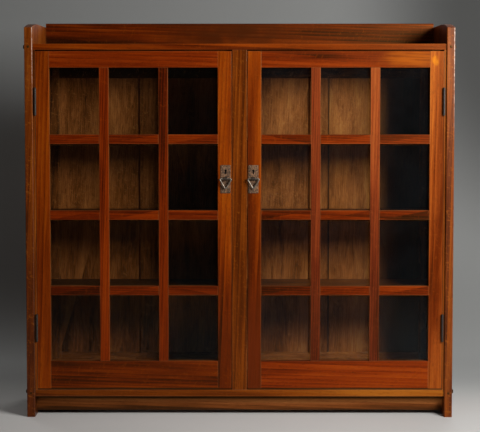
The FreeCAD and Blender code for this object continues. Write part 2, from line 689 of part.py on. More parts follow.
def pull_plate():
    """Plate with eased corners, a keyhole and an eye that carries the bail."""
    half_x, half_z = PLATE_WIDTH / 2, PLATE_HEIGHT / 2
    plate = box(PULL_X - half_x, PULL_X + half_x, PLATE_FACE, DOOR_FACE, PULL_Z - half_z, PULL_Z + half_z)
    corners = [e for e in plate.Edges if e.BoundBox.YLength > FIT]
    plate = plate.makeFillet(PLATE_CORNER, corners)
    eye_x, radius = PULL_X - EYE_WIDTH / 2, EYE_DIAMETER / 2
    eye = Part.makeCylinder(radius, EYE_WIDTH, V(eye_x, BAIL_Y, BAIL_Z), V(1, 0, 0))
    neck = box(eye_x, eye_x + EYE_WIDTH, BAIL_Y, PLATE_FACE, BAIL_Z - radius, BAIL_Z + radius)
    bore_base = V(eye_x - OVERCUT, BAIL_Y, BAIL_Z)
    bore = Part.makeCylinder(BAIL_BAR / 2 + PIVOT_FIT, EYE_WIDTH + 2 * OVERCUT, bore_base, V(1, 0, 0))
    return cut(joined([plate, eye, neck]), [bore, key_passage()])


def rounded_path(points, radius):
    """Wire along a run of points with an arc at each inner one."""
    edges = []
    start = points[0]
    for before, corner, after in zip(points, points[1:], points[2:]):
        back, ahead = (before - corner).normalize(), (after - corner).normalize()
        half = back.getAngle(ahead) / 2
        tangent = radius / math.tan(half)
        enter, leave = corner + back * tangent, corner + ahead * tangent
        middle = corner + (back + ahead).normalize() * (radius / math.sin(half) - radius)
        edges += [Part.makeLine(start, enter), Part.Arc(enter, middle, leave).toShape()]
        start = leave
    edges.append(Part.makeLine(start, points[-1]))
    return Part.Wire(edges)


def bail():
    """V-shaped drop bail of round bar, whose ends turn in to meet inside the eye."""
    half = BAIL_SPREAD / 2
    end = BAIL_END_GAP / 2
    tip = V(PULL_X, BAIL_Y, BAIL_Z - BAIL_DROP)
    corners = [V(PULL_X - half, BAIL_Y, BAIL_Z), tip, V(PULL_X + half, BAIL_Y, BAIL_Z)]
    ends = V(PULL_X - end, BAIL_Y, BAIL_Z), V(PULL_X + end, BAIL_Y, BAIL_Z)
    path = rounded_path([ends[0]] + corners + [ends[1]], BAIL_CORNER)
    section = Part.Wire(Part.makeCircle(BAIL_BAR / 2, ends[0], V(-1, 0, 0)))
    return path.makePipeShell([section], True, False)


def case_nodes():
    """Every piece of the standing case."""
    left_side = side()
    strip = hanging_strip()
    leaves = [hinge_leaf(z0, -1, 0) for z0 in HINGE_LOWS]
    pins = [hinge_pin(z0) for z0 in HINGE_LOWS]
    drawbore = [pin for low, thickness in BOARDS for pin in tenon_pins(low, thickness, 0)]
    pegs = shelf_pegs(0)
    back_frame_stile = back_stile()
    nodes = {
        "left_side": left_side,
        "right_side": mirrored(left_side),
        "top_board": top_board(),
        "bottom_board": tenoned_board(TOE_SPACE_HEIGHT, BOTTOM_BOARD_THICKNESS,
                                      BOTTOM_BOARD_TOP - PARTITION_HOUSING),
        "toe_board": toe_board(),
        "gallery_board": gallery_board(),
        "tenon_pins": group(drawbore + [mirrored(pin) for pin in drawbore]),
        "center_partition": partition(),
        "center_stile": center_stile(),
        "left_hanging_strip": strip,
        "right_hanging_strip": mirrored(strip),
        "door_stops": group(pair(door_stop())),
        "hinge_frame_leaves": group(leaves + [mirrored(leaf) for leaf in leaves]),
        "hinge_pins": group(pins + [mirrored(pin) for pin in pins]),
        "back_stile_left": back_frame_stile,
        "back_stile_right": mirrored(back_frame_stile),
        "back_rail_top": back_rail(BACK_HIGH, TOP_BOARD_LOW, BACK_HIGH),
        "back_rail_bottom": back_rail(BOTTOM_BOARD_TOP, BACK_LOW, BACK_LOW - PANEL_GROOVE_DEPTH),
        "back_panels": group(back_panels()),
        "shelf_pegs": group(pegs + [mirrored(peg) for peg in pegs]),
    }
    for name, center in BACK_MUNTINS.items():
        nodes["back_muntin_" + name] = back_muntin(center)
    for name, top in zip(("lower", "middle", "upper"), SHELF_TOPS):
        nodes["left_shelf_" + name] = shelf(top)
        nodes["right_shelf_" + name] = mirrored(shelf(top))
    return nodes


def door_nodes():
    """Every piece of the left door, which the right door mirrors."""
    return {
        "hinge_stile": hinge_stile(),
        "lock_stile": lock_stile(),
        "top_rail": door_rail(SASH_TOP, DOOR_TOP),
        "bottom_rail": door_rail(DOOR_LOW, SASH_LOW),
        "upright_bars": group([upright_bar(i) for i in range(PANE_COLUMNS - 1)]),
        "cross_bars": group(cross_bars()),
        "panes": group(panes()),
        "glazing_beads": group(glazing_beads()),
        "hinge_leaves": group([hinge_leaf(z0, 1, 1) for z0 in HINGE_LOWS]),
        "lock_case": lock_case(),
        "lock_bolt": lock_bolt(),
        "pull_plate": pull_plate(),
        "bail": bail(),
    }


def main():
    """Write one file for each node."""
    os.makedirs("parts", exist_ok=True)
    nodes = case_nodes()
    for name, shape in door_nodes().items():
        nodes["left_door_" + name] = shape
        nodes["right_door_" + name] = mirrored(shape)
    for name, shape in nodes.items():
        shape.exportStep("parts/" + name + ".step")


main()
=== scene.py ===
"""Double door bookcase in fumed oak: finishes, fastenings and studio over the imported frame."""
import json
import logging
import math
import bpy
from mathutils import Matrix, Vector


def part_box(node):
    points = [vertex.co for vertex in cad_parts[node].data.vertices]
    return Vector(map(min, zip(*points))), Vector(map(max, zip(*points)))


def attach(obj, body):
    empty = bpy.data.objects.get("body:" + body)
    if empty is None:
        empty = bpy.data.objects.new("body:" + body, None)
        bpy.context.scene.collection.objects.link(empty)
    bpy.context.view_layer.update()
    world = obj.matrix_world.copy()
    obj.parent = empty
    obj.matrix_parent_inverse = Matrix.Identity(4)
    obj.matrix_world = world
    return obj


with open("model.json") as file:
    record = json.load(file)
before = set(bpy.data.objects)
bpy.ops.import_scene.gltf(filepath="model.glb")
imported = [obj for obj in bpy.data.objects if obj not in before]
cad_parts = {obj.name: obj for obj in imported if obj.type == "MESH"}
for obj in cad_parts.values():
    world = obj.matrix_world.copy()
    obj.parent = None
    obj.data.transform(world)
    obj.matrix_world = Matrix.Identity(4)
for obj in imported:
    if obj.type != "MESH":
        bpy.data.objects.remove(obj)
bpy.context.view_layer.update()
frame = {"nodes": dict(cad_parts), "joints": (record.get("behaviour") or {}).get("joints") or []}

import zlib
from dataclasses import dataclass, replace
from enum import Enum

import bmesh
import bpy
from mathutils import Matrix, Vector

Tree = bpy.types.NodeTree
Socket = bpy.types.NodeSocket
Material = bpy.types.Material
Mesh = bmesh.types.BMesh

log = logging.getLogger("bookcase")


def linear(code: str) -> tuple[float, float, float, float]:
    """Turns an sRGB hex colour into a linear one.

    Args:
        code: colour as "#RRGGBB".

    Returns:
        Linear red, green and blue with an alpha of 1.
    """
    parts = [int(code[i:i + 2], 16) / 255 for i in (1, 3, 5)]
    red, green, blue = (c / 12.92 if c <= 0.04045 else ((c + 0.055) / 1.055) ** 2.4 for c in parts)
    return red, green, blue, 1.0


def mm(size: float) -> float:
    """Millimetres as metres."""
    return size / 1000


def lot(text: str, count: int) -> int:
    """Draws the same number below a count for the same text each time."""
    return zlib.crc32(text.encode()) % count


def add(tree: Tree, kind: str, sockets: dict | None = None, **settings: object) -> bpy.types.Node:
    """Adds a node with its settings and links.

    Some inputs are best named by index. A Math node has its operands at 0, 1 and 2. A Map Range node has its
    value at 0, the range it reads at 1 and 2, and the range it gives at 3 and 4. A Mix node of colours has
    the lower one at 6, the upper one at 7, and gives its output 2.

    Args:
        tree: node tree of a material or world.
        kind: Blender's name of the node type.
        sockets: value, or output to link, for each input by name or index.
        settings: properties of the node itself.

    Returns:
        The new node.
    """
    made = tree.nodes.new(kind)
    for name, value in settings.items():
        setattr(made, name, value)
    for name, value in (sockets or {}).items():
        if isinstance(value, Socket):
            tree.links.new(value, made.inputs[name])
        else:
            made.inputs[name].default_value = value
    return made


def blank(name: str) -> Material:
    """Makes an empty node material.

    Args:
        name: name of the material.

    Returns:
        A material whose tree has no nodes yet.
    """
    made = bpy.data.materials.new(name)
    made.use_nodes = True
    made.node_tree.nodes.clear()
    return made


class Hand(Enum):
    """Which door of the pair a piece belongs to."""

    LEFT = "left"
    RIGHT = "right"

    @property
    def side(self) -> int:
        """Sign of X on this hand."""
        return -1 if self is Hand.LEFT else 1


class Grain(Enum):
    """Which way a board's grain runs."""

    LEVEL = 0
    DEEP = 1
    UPRIGHT = 2

    def sizes(self, along: float, across: float) -> tuple[float, float, float]:
        """Gives a pattern's size on each axis.

        Args:
            along: length of one figure along the grain, in mm.
            across: width of one figure across the grain, in mm.

        Returns:
            Sizes on X, Y and Z in metres.
        """
        return tuple(mm(along if axis == self.value else across) for axis in range(3))

    def turned(self, degrees: float) -> tuple[float, float, float]:
        """Gives a small turn of a figure out of the grain, seen on the wide face.

        Args:
            degrees: angle between figure and grain.

        Returns:
            Euler angles for a mapping.
        """
        angle = math.radians(degrees)
        return (0.0, angle, 0.0) if self is not Grain.DEEP else (0.0, 0.0, angle)


@dataclass(frozen=True)
class Figure:
    """One pattern in the wood.

    Attributes:
        along: length along the grain in mm.
        across: width across the grain in mm.
        turn: angle out of the grain in degrees.
        detail: number of finer layers.
        roughness: weight of the finer layers.
        bend: how far the pattern is pulled out of true.
    """

    along: float
    across: float
    turn: float = 2.0
    detail: float = 4.0
    roughness: float = 0.62
    bend: float = 0.5


# Broad bands of the plank, rays that cross the rings as flecks some 17 mm wide, and pores. Real pores
# are 0.3 mm wide and would not show, so they are drawn 1.1 mm wide.
BAND = Figure(620.0, 62.0, turn=1.5, detail=2.0, roughness=0.5, bend=0.4)
RAY = Figure(7.0, 17.0, turn=24.0, detail=2.0, roughness=0.5, bend=1.2)
PORE = Figure(17.0, 1.1, turn=0.0, detail=1.0, roughness=0.5, bend=0.0)


@dataclass(frozen=True)
class Patch:
    """Sapwood, heartwood, dirt or painted shade in one board, with a soft edge.

    Attributes:
        middle: place in the shared frame in mm.
        half: half of its size on each axis in mm.
        colour: colour of the patch.
        stray: how far its edge strays, as a share of its least half size.
        solid: how much of the patch stays between the growth rings, from 0 to 1.
    """

    middle: tuple[float, float, float]
    half: tuple[float, float, float]
    colour: str
    stray: float = 1.5
    solid: float = 0.9


@dataclass(frozen=True)
class RubAndHighlight:
    """Bare front arris on the right of an upright board, paler than wear alone: partly bare wood, partly a
    painted highlight of the key light from the right.

    Attributes:
        faint: height in mm below which hardly any is bare.
        full: height in mm above which the most is bare.
        width: width of the bare strip in mm.
        most: how bare it gets, from 0 to 1.
    """

    faint: float
    full: float
    width: float
    most: float


@dataclass(frozen=True)
class Fade:
    """Change of tone over a plank.

    Attributes:
        right: how much lighter it gets in each metre to the right.
        up: how much lighter it gets in each metre of height.
        level: height in mm where the plank's own tone holds.
    """

    right: float = 0.0
    up: float = 0.0
    level: float = 700.0


@dataclass(frozen=True)
class Oak:
    """Quarter-sawn white oak, fumed with ammonia, planed and finished with shellac and wax, or oil.

    Attributes:
        name: what the material is called.
        deep: colour of pores, and of dirt and painted shade in corners.
        dark: colour of the dark growth.
        mid: colour of most of the wood.
        light: colour of the light growth and the rays.
        worn: colour where the finish is rubbed off; on the sides' rubbed arrises it also paints their
            highlight.
        fleck: how strongly the rays show.
        wear: how bare the arrises are.
        roughness: mean roughness of the surface.
        coat: weight of the wax.
        sheen: tint of the shine.
        arches: how strongly the rings round the heart show.
        ring: long streaks of the growth rings, coarser than the real 2 to 4 mm so that they show.
        contrast: how strongly these streaks show.
    """

    name: str
    deep: str
    dark: str
    mid: str
    light: str
    worn: str
    fleck: float = 0.45
    wear: float = 0.5
    roughness: float = 0.4
    coat: float = 0.05
    sheen: str = "#FFB868"
    arches: float = 0.2
    ring: Figure = Figure(230.0, 5.5)
    contrast: float = 0.85


# Shellac over fumed oak is a warm red-brown with a soft waxed shine, and the doors have broad quiet rings.
DOOR_OAK = Oak(
    "fumed_oak_shellac_door", deep="#220701", dark="#581A01", mid="#7E3002", light="#9E4C08", worn="#B07A46",
    fleck=0.12, wear=0.25, ring=Figure(240.0, 8.0, bend=0.8), contrast=0.55)
# The top board and the gallery are cut on the flat and show long streaks and hardly any rays.
BOARD_OAK = replace(DOOR_OAK, name="fumed_oak_shellac_board", wear=0.12, ring=Figure(420.0, 13.0, bend=0.7))
# The bars and some rails come from redder planks with finer rings.
BAR_OAK = Oak(
    "fumed_oak_shellac_bar", deep="#200601", dark="#541401", mid="#782602", light="#943C08", worn="#A86E3E",
    fleck=0.2, wear=0.3, contrast=0.6)
# The right door's upright pieces get a mauve cast: a painted sheen, for the cool shine of their waxed faces.
SHEEN_BAR_OAK = replace(
    BAR_OAK, name="fumed_oak_painted_sheen_bar", dark="#521A0A", mid="#762E12", light="#90461C")
SHEEN_DOOR_OAK = replace(DOOR_OAK, name="fumed_oak_painted_sheen_door", mid="#82380C", light="#A65618")
# The case took less of the fumes, so it is browner than the doors and its rays stand out.
CASE_OAK = Oak(
    "fumed_oak_shellac_case", deep="#220B02", dark="#521E02", mid="#783606", light="#985414", worn="#D8B088",
    wear=0.7)
# The sides are lifted and brushed past, so their arrises are bare and grey near the top; the pale cream on
# their right arrises is also a painted highlight of the key light.
SIDE_OAK = replace(CASE_OAK, name="fumed_oak_shellac_side", worn="#DCC6B6", wear=1.0, sheen="#FFD8B4")
# The bottom board is browner than the doors and cut on the flat as well.
BASE_OAK = replace(CASE_OAK, name="fumed_oak_shellac_base", fleck=0.12, wear=0.12,
                   ring=Figure(420.0, 11.0, bend=0.7), contrast=0.6)
# Jambs and partition edges are out of reach of hands, so they keep their arrises.
JAMB_OAK = replace(CASE_OAK, name="fumed_oak_shellac_jamb", wear=0.08, fleck=0.25, contrast=0.6)
# Pins show end grain, which drank the stain and went nearly black.
PIN_OAK = Oak(
    "fumed_oak_end_grain_pin", deep="#120A03", dark="#241405", mid="#35200A", light="#4A3010", worn="#4A3010",
    wear=0.0)
# The inside was only oiled, so it stayed paler, greyer and duller than the shellacked front.
BACK_OAK = Oak(
    "fumed_oak_oiled_back", deep="#3A1A0A", dark="#7C421C", mid="#AA6232", light="#C88044", worn="#B98F5C",
    fleck=0.3, wear=0.1, roughness=0.6, coat=0.0, arches=0.1, ring=Figure(95.0, 15.0, bend=1.6))
# Shelves are oiled too, and a little darker and smoother from use.
SHELF_OAK = Oak(
    "fumed_oak_oiled_shelf", deep="#34190A", dark="#703A18", mid="#98562A", light="#B4703A", worn="#B98F5C",
    fleck=0.3, wear=0.3, roughness=0.55, coat=0.0)
# The toe board keeps no rays; its darker lower half is painted shade, from the fade its board is given.
TOE_OAK = replace(SHELF_OAK, name="fumed_oak_oiled_toe", fleck=0.05, wear=0.1,
                  ring=Figure(420.0, 11.0, bend=0.7))


@dataclass(frozen=True)
class Board:
    """One carried-over board, or a group of boards cut from different planks.

    Attributes:
        node: CAD node, whose name fixes where in the log its figure comes from.
        oak: finish.
        grain: direction of the grain.
        tone: how much lighter the plank is than the usual one, in steps of the colour ramp.
        arris: width of the rounded arris in mm, or 0 to leave the solid's own edges.
        islands: True where the node is several boards, each with its own figure and tone.
        patch: sapwood, heartwood, dirt or painted shade in this board.
        fade: change of tone over the board.
        rub_and_highlight: bare arris of this board, with its painted highlight.
        near: CAD node that fixes the heart of the log, where the board itself is none.
    """

    node: str
    oak: Oak
    grain: Grain
    tone: float = 0.0
    arris: float = 0.0
    islands: bool = False
    patch: Patch | None = None
    fade: Fade = Fade()
    rub_and_highlight: RubAndHighlight | None = None
    near: str | None = None

    def dress(self) -> None:
        """Gives the board its own cut of the finish."""
        dress(self.node, Plank(self).finish(), self.arris)


class Plank:
    """Node tree of one board's finish, put together step by step."""

    # Weight of the streaks that the boards' tones are set for, and weight of the bands.
    FULL_CONTRAST = 0.85
    BAND_WEIGHT = 0.95
    # Sums of tone and figures at which the colour ramp starts and ends.
    RAMP = (0.58, 1.4)
    # How much the boards of one group differ in tone, and how far apart in the log they lie.
    LOT_SPREAD = 0.26
    LOT_STEP = 61.0
    # How far the heart of the log lies to either side of the board, and how far behind it, in mm.
    HEART_ASIDE = 45.0
    HEART_BEHIND = (30.0, 80.0)
    # Length and width of the rings round the heart, in mm.
    RING_MM = (260.0, 8.0)
    # Scale at which Blender's wave texture has one ring in each unit.
    WAVE_UNIT = math.pi / 10

    def __init__(self, board: Board) -> None:
        """Starts an empty finish.

        Args:
            board: board that takes the finish.
        """
        self.board = board
        self.oak = board.oak
        self.material = blank(f"{board.oak.name}_{board.node}")
        self.tree = self.material.node_tree
        self.place = add(self.tree, "ShaderNodeTexCoord").outputs["Object"]
        self.low, self.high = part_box(board.near or board.node)
        self.figures: dict[str, Socket] = {}

    def _tone_and_seed(self) -> tuple[Socket | float, Socket | float]:
        """Works out how light the board is and where in the log it was cut.

        Returns:
            Tone in steps of the colour ramp, and the seed of the figures.
        """
        fade = self.board.fade
        tone = self.board.tone - fade.up * mm(fade.level) + (self.FULL_CONTRAST - self.oak.contrast) / 2
        seed = lot(self.board.node, 977) / 10
        if self.board.islands:
            share = add(self.tree, "ShaderNodeNewGeometry").outputs["Random Per Island"]
            darkest = tone - self.LOT_SPREAD / 2
            tone = add(self.tree, "ShaderNodeMath", {0: share, 1: self.LOT_SPREAD, 2: darkest},
                       operation="MULTIPLY_ADD").outputs[0]
            seed = add(self.tree, "ShaderNodeMath", {0: share, 1: self.LOT_STEP, 2: seed},
                       operation="MULTIPLY_ADD").outputs[0]
        if fade.right or fade.up:
            slope = add(self.tree, "ShaderNodeVectorMath", {0: self.place, 1: (fade.right, 0.0, fade.up)},
                        operation="DOT_PRODUCT").outputs["Value"]
            tone = add(self.tree, "ShaderNodeMath", {0: slope, 1: tone}).outputs[0]
        return tone, seed

    def _draw_figures(self, seed: Socket | float) -> None:
        """Draws bands, rings, rays and pores.

        Args:
            seed: place in the log.
        """
        grain = self.board.grain
        for name, figure in (("band", BAND), ("ring", self.oak.ring), ("ray", RAY), ("pore", PORE)):
            at = add(self.tree, "ShaderNodeMapping", {
                "Vector": self.place, "Rotation": grain.turned(figure.turn),
                "Scale": grain.sizes(figure.along, figure.across)}, vector_type="TEXTURE").outputs[0]
            self.figures[name] = add(self.tree, "ShaderNodeTexNoise", {
                "Vector": at, "W": seed, "Scale": 1.0, "Detail": figure.detail, "Roughness": figure.roughness,
                "Distortion": figure.bend}, noise_dimensions="4D").outputs["Fac"]

    def _draw_years(self) -> None:
        """Draws growth rings round the heart of the log.

        The heart lies a little way behind the board and a little out of line with it, so that the rings
        come out on the face in long arches. Real rings are 2 to 4 mm wide, and these are 8 mm to show.
        """
        grain = self.board.grain
        x, y, z = (lot(f"{self.board.node} {axis}", 101) / 100 for axis in "xyz")
        aside, up = (mm(self.HEART_ASIDE * (2 * share - 1)) for share in (x, z))
        nearest, furthest = self.HEART_BEHIND
        heart = (self.low + self.high) / 2 + Vector((aside, mm(nearest + (furthest - nearest) * y), up))
        at = add(self.tree, "ShaderNodeMapping", {
            "Vector": self.place, "Location": heart, "Rotation": grain.turned(1.0 + 2.0 * y),
            "Scale": grain.sizes(*self.RING_MM)}, vector_type="TEXTURE").outputs[0]
        self.figures["years"] = add(self.tree, "ShaderNodeTexWave", {
            "Vector": at, "Scale": self.WAVE_UNIT, "Distortion": 3.0, "Detail": 2.0, "Detail Scale": 0.35},
            wave_type="RINGS", rings_direction="XYZ"[grain.value], wave_profile="SAW").outputs["Fac"]

    def _stain(self, tone: Socket | float) -> Socket:
        """Colours the wood by its bands and rings.

        Args:
            tone: tone in steps of the colour ramp.

        Returns:
            Colour of the wood.
        """
        step = tone
        for name, weight in (
            ("band", self.BAND_WEIGHT), ("ring", self.oak.contrast), ("years", self.oak.arches),
        ):
            step = add(self.tree, "ShaderNodeMath", {0: self.figures[name], 1: weight, 2: step},
                       operation="MULTIPLY_ADD").outputs[0]
        share = add(self.tree, "ShaderNodeMapRange", {0: step, 1: self.RAMP[0], 2: self.RAMP[1]}).outputs[0]
        ramp = add(self.tree, "ShaderNodeValToRGB", {"Fac": share})
        stops = ramp.color_ramp.elements
        stops[0].position, stops[0].color = 0.05, linear(self.oak.deep)
        stops[1].position, stops[1].color = 0.95, linear(self.oak.light)
        for position, code in ((0.34, self.oak.dark), (0.62, self.oak.mid)):
            stops.new(position).color = linear(code)
        return ramp.outputs["Color"]

    def _patch(self, patch: Patch) -> Socket:
        """Shapes a patch, whose edge strays and which the rings break up.

        Args:
            patch: the patch.

        Returns:
            How much it covers.
        """
        stray = mm(patch.stray * min(patch.half))
        drift = add(self.tree, "ShaderNodeTexNoise", {
            "Vector": self.place, "Scale": 1 / stray, "Detail": 2.0}).outputs["Color"]
        wander = add(self.tree, "ShaderNodeVectorMath", {0: drift, 1: (stray,) * 3, 2: self.place},
                     operation="MULTIPLY_ADD").outputs[0]
        spot = add(self.tree, "ShaderNodeMapping", {
            "Vector": wander, "Location": tuple(mm(v) + stray / 2 for v in patch.middle),
            "Scale": tuple(mm(v) for v in patch.half)}, vector_type="TEXTURE").outputs[0]
        ball = add(self.tree, "ShaderNodeTexGradient", {"Vector": spot},
                   gradient_type="SPHERICAL").outputs["Fac"]
        edge = add(self.tree, "ShaderNodeMapRange", {0: ball, 1: 0.0, 2: 0.8, 4: 0.95},
                   interpolation_type="SMOOTHSTEP").outputs[0]
        broken = add(self.tree, "ShaderNodeMapRange", {
            0: self.figures["ring"], 1: 0.38, 2: 0.58, 3: patch.solid}).outputs[0]
        return add(self.tree, "ShaderNodeMath", {0: edge, 1: broken}, operation="MULTIPLY").outputs[0]

    def _rub_and_highlight(self, rub_and_highlight: RubAndHighlight) -> Socket:
        """Pales one long arris in chips, more towards the top: partly bare wood, partly a painted highlight.

        Args:
            rub_and_highlight: the bare arris and its painted highlight.

        Returns:
            How pale the arris is, from bare wood and painted highlight.
        """
        spot = add(self.tree, "ShaderNodeSeparateXYZ", {0: self.place})
        # Chips some 9 mm long, in a strip whose edges are soft over 1.5 mm.
        chips = add(self.tree, "ShaderNodeTexNoise", {
            "Vector": self.place, "Scale": 1 / mm(9.0), "Detail": 3.0}).outputs[0]
        bare = add(self.tree, "ShaderNodeMapRange", {
            0: chips, 1: 0.38, 2: 0.62, 3: 0.2 * rub_and_highlight.most, 4: rub_and_highlight.most}).outputs[0]
        for axis, start, full, least in (
            ("X", self.high.x - mm(rub_and_highlight.width + 1.5), self.high.x - mm(rub_and_highlight.width), 0.0),
            ("Y", self.low.y + mm(rub_and_highlight.width + 2.5), self.low.y + mm(rub_and_highlight.width + 1.0), 0.0),
            ("Z", mm(rub_and_highlight.faint), mm(rub_and_highlight.full), 0.04),
        ):
            within = add(self.tree, "ShaderNodeMapRange", {
                0: spot.outputs[axis], 1: start, 2: full, 3: least}).outputs[0]
            bare = add(self.tree, "ShaderNodeMath", {0: bare, 1: within}, operation="MULTIPLY").outputs[0]
        return bare

    def _wear(self) -> Socket:
        """Thins the shellac on every arris, in places more than in others.

        Returns:
            How bare the wood is.
        """
        arris = add(self.tree, "ShaderNodeAmbientOcclusion", {"Distance": mm(3.0)},
                    inside=True, only_local=True, samples=4).outputs["AO"]
        thin = add(self.tree, "ShaderNodeMapRange", {0: arris, 1: 0.92, 2: 0.55, 3: 0.0, 4: 1.0}).outputs[0]
        patchy = add(self.tree, "ShaderNodeMapRange", {
            0: self.figures["band"], 1: 0.38, 2: 0.62, 3: 0.25, 4: 1.0}).outputs[0]
        bare = add(self.tree, "ShaderNodeMath", {0: thin, 1: patchy}, operation="MULTIPLY").outputs[0]
        return add(self.tree, "ShaderNodeMath", {0: bare, 1: self.oak.wear}, operation="MULTIPLY").outputs[0]

    def finish(self) -> Material:
        """Lays rays, pores, patch, wear, the painted highlight of rubbed arrises, and dirt with painted shade
        in the corners over the stained wood, and polishes it.

        Returns:
            The material.
        """
        oak, board = self.oak, self.board
        tone, seed = self._tone_and_seed()
        self._draw_figures(seed)
        self._draw_years()
        colour = self._stain(tone)
        rays = add(self.tree, "ShaderNodeMapRange", {0: self.figures["ray"], 1: 0.57, 2: 0.68, 4: oak.fleck},
                   interpolation_type="SMOOTHSTEP").outputs[0]
        pores = add(self.tree, "ShaderNodeMapRange", {0: self.figures["pore"], 1: 0.58, 2: 0.72, 4: 0.55},
                    interpolation_type="SMOOTHSTEP").outputs[0]
        # A rubbed arris is paler partly as bare wood and partly as a painted highlight of the key light.
        bare = self._rub_and_highlight(board.rub_and_highlight) if board.rub_and_highlight else self._wear()
        # Dust and old wax stay in the corners, and painted shade darkens them as well.
        corner = add(self.tree, "ShaderNodeAmbientOcclusion", {"Distance": mm(9.0)}, samples=4).outputs["AO"]
        grime_and_shade = add(self.tree, "ShaderNodeMapRange", {0: corner, 1: 0.6, 2: 0.15, 3: 0.0, 4: 0.45}).outputs[0]
        layers = [(rays, oak.light), (pores, oak.deep)]
        if board.patch:
            layers.append((self._patch(board.patch), board.patch.colour))
        for cover, code in (*layers, (bare, oak.worn), (grime_and_shade, oak.deep)):
            colour = add(self.tree, "ShaderNodeMix", {"Factor": cover, 6: colour, 7: linear(code)},
                         data_type="RGBA").outputs[2]

        ring = self.figures["ring"]
        gloss = add(self.tree, "ShaderNodeMapRange", {
            0: ring, 1: 0.3, 2: 0.7, 3: oak.roughness - 0.08, 4: oak.roughness + 0.1}).outputs[0]
        sunk = add(self.tree, "ShaderNodeMath", {0: pores, 1: -0.8, 2: ring},
                   operation="MULTIPLY_ADD").outputs[0]
        relief = add(self.tree, "ShaderNodeBump", {
            "Height": sunk, "Strength": 0.35, "Distance": mm(0.5)}).outputs[0]
        wood = add(self.tree, "ShaderNodeBsdfPrincipled", {
            "Base Color": colour, "Roughness": gloss, "Normal": relief, "IOR": 1.5,
            "Specular IOR Level": 0.28, "Specular Tint": linear(oak.sheen),
            "Coat Weight": oak.coat, "Coat Roughness": 0.16, "Coat IOR": 1.5})
        add(self.tree, "ShaderNodeOutputMaterial", {"Surface": wood.outputs[0]})
        return self.material


@dataclass(frozen=True)
class SheetGlass:
    """Old drawn sheet glass: clear, slightly wavy, with a thin film of dust that lifts the dark behind it.

    Attributes:
        name: what the material is called.
        clear: tint of what is seen through it.
        film: colour of the dust.
        dust: least and most of the film.
        wave_mm: length of the waves.
        cloud_mm: size of the clouds of dust.
        shine: most that a pane mirrors. It is held low, because the dim room gives it little to mirror.
    """

    name: str = "drawn_sheet_glass"
    clear: str = "#F1F4F0"
    film: str = "#8E8A80"
    dust: tuple[float, float] = (0.0005, 0.004)
    wave_mm: float = 150.0
    cloud_mm: float = 140.0
    shine: float = 0.01

    def material(self) -> Material:
        """Makes the finish.

        Returns:
            The material.
        """
        made = blank(self.name)
        tree = made.node_tree
        place = add(tree, "ShaderNodeTexCoord").outputs["Object"]
        wave = add(tree, "ShaderNodeTexNoise", {
            "Vector": place, "Scale": 1 / mm(self.wave_mm), "Detail": 0.0}).outputs[0]
        relief = add(tree, "ShaderNodeBump", {
            "Height": wave, "Strength": 0.05, "Distance": mm(3.0)}).outputs[0]
        cloud = add(tree, "ShaderNodeTexNoise", {
            "Vector": place, "Scale": 1 / mm(self.cloud_mm), "Detail": 5.0, "Roughness": 0.6}).outputs[0]
        haze = add(tree, "ShaderNodeMapRange", {
            0: cloud, 1: 0.3, 2: 0.75, 3: self.dust[0], 4: self.dust[1]}).outputs[0]
        through = add(tree, "ShaderNodeBsdfTransparent", {"Color": linear(self.clear)}).outputs[0]
        mirror = add(tree, "ShaderNodeBsdfGlossy", {
            "Color": (1, 1, 1, 1), "Roughness": 0.04, "Normal": relief}).outputs[0]
        dull = add(tree, "ShaderNodeBsdfDiffuse", {"Color": linear(self.film)}).outputs[0]
        edge = add(tree, "ShaderNodeFresnel", {"IOR": 1.14, "Normal": relief}).outputs[0]
        shine = add(tree, "ShaderNodeMapRange", {0: edge, 1: 0.0, 2: self.shine, 4: self.shine}).outputs[0]
        pane = add(tree, "ShaderNodeMixShader", {0: shine, 1: through, 2: mirror}).outputs[0]
        dusty = add(tree, "ShaderNodeMixShader", {0: haze, 1: pane, 2: dull}).outputs[0]
        add(tree, "ShaderNodeOutputMaterial", {"Surface": dusty})
        return made


# The left door's panes are wiped when it is used, and the dark behind them stays deep.
CLEAN_GLASS = SheetGlass()
# The right door's panes have gathered more dust, which greys the dark behind them.
DUSTY_GLASS = SheetGlass("drawn_sheet_glass_dusty", film="#868C92", dust=(0.0025, 0.01))


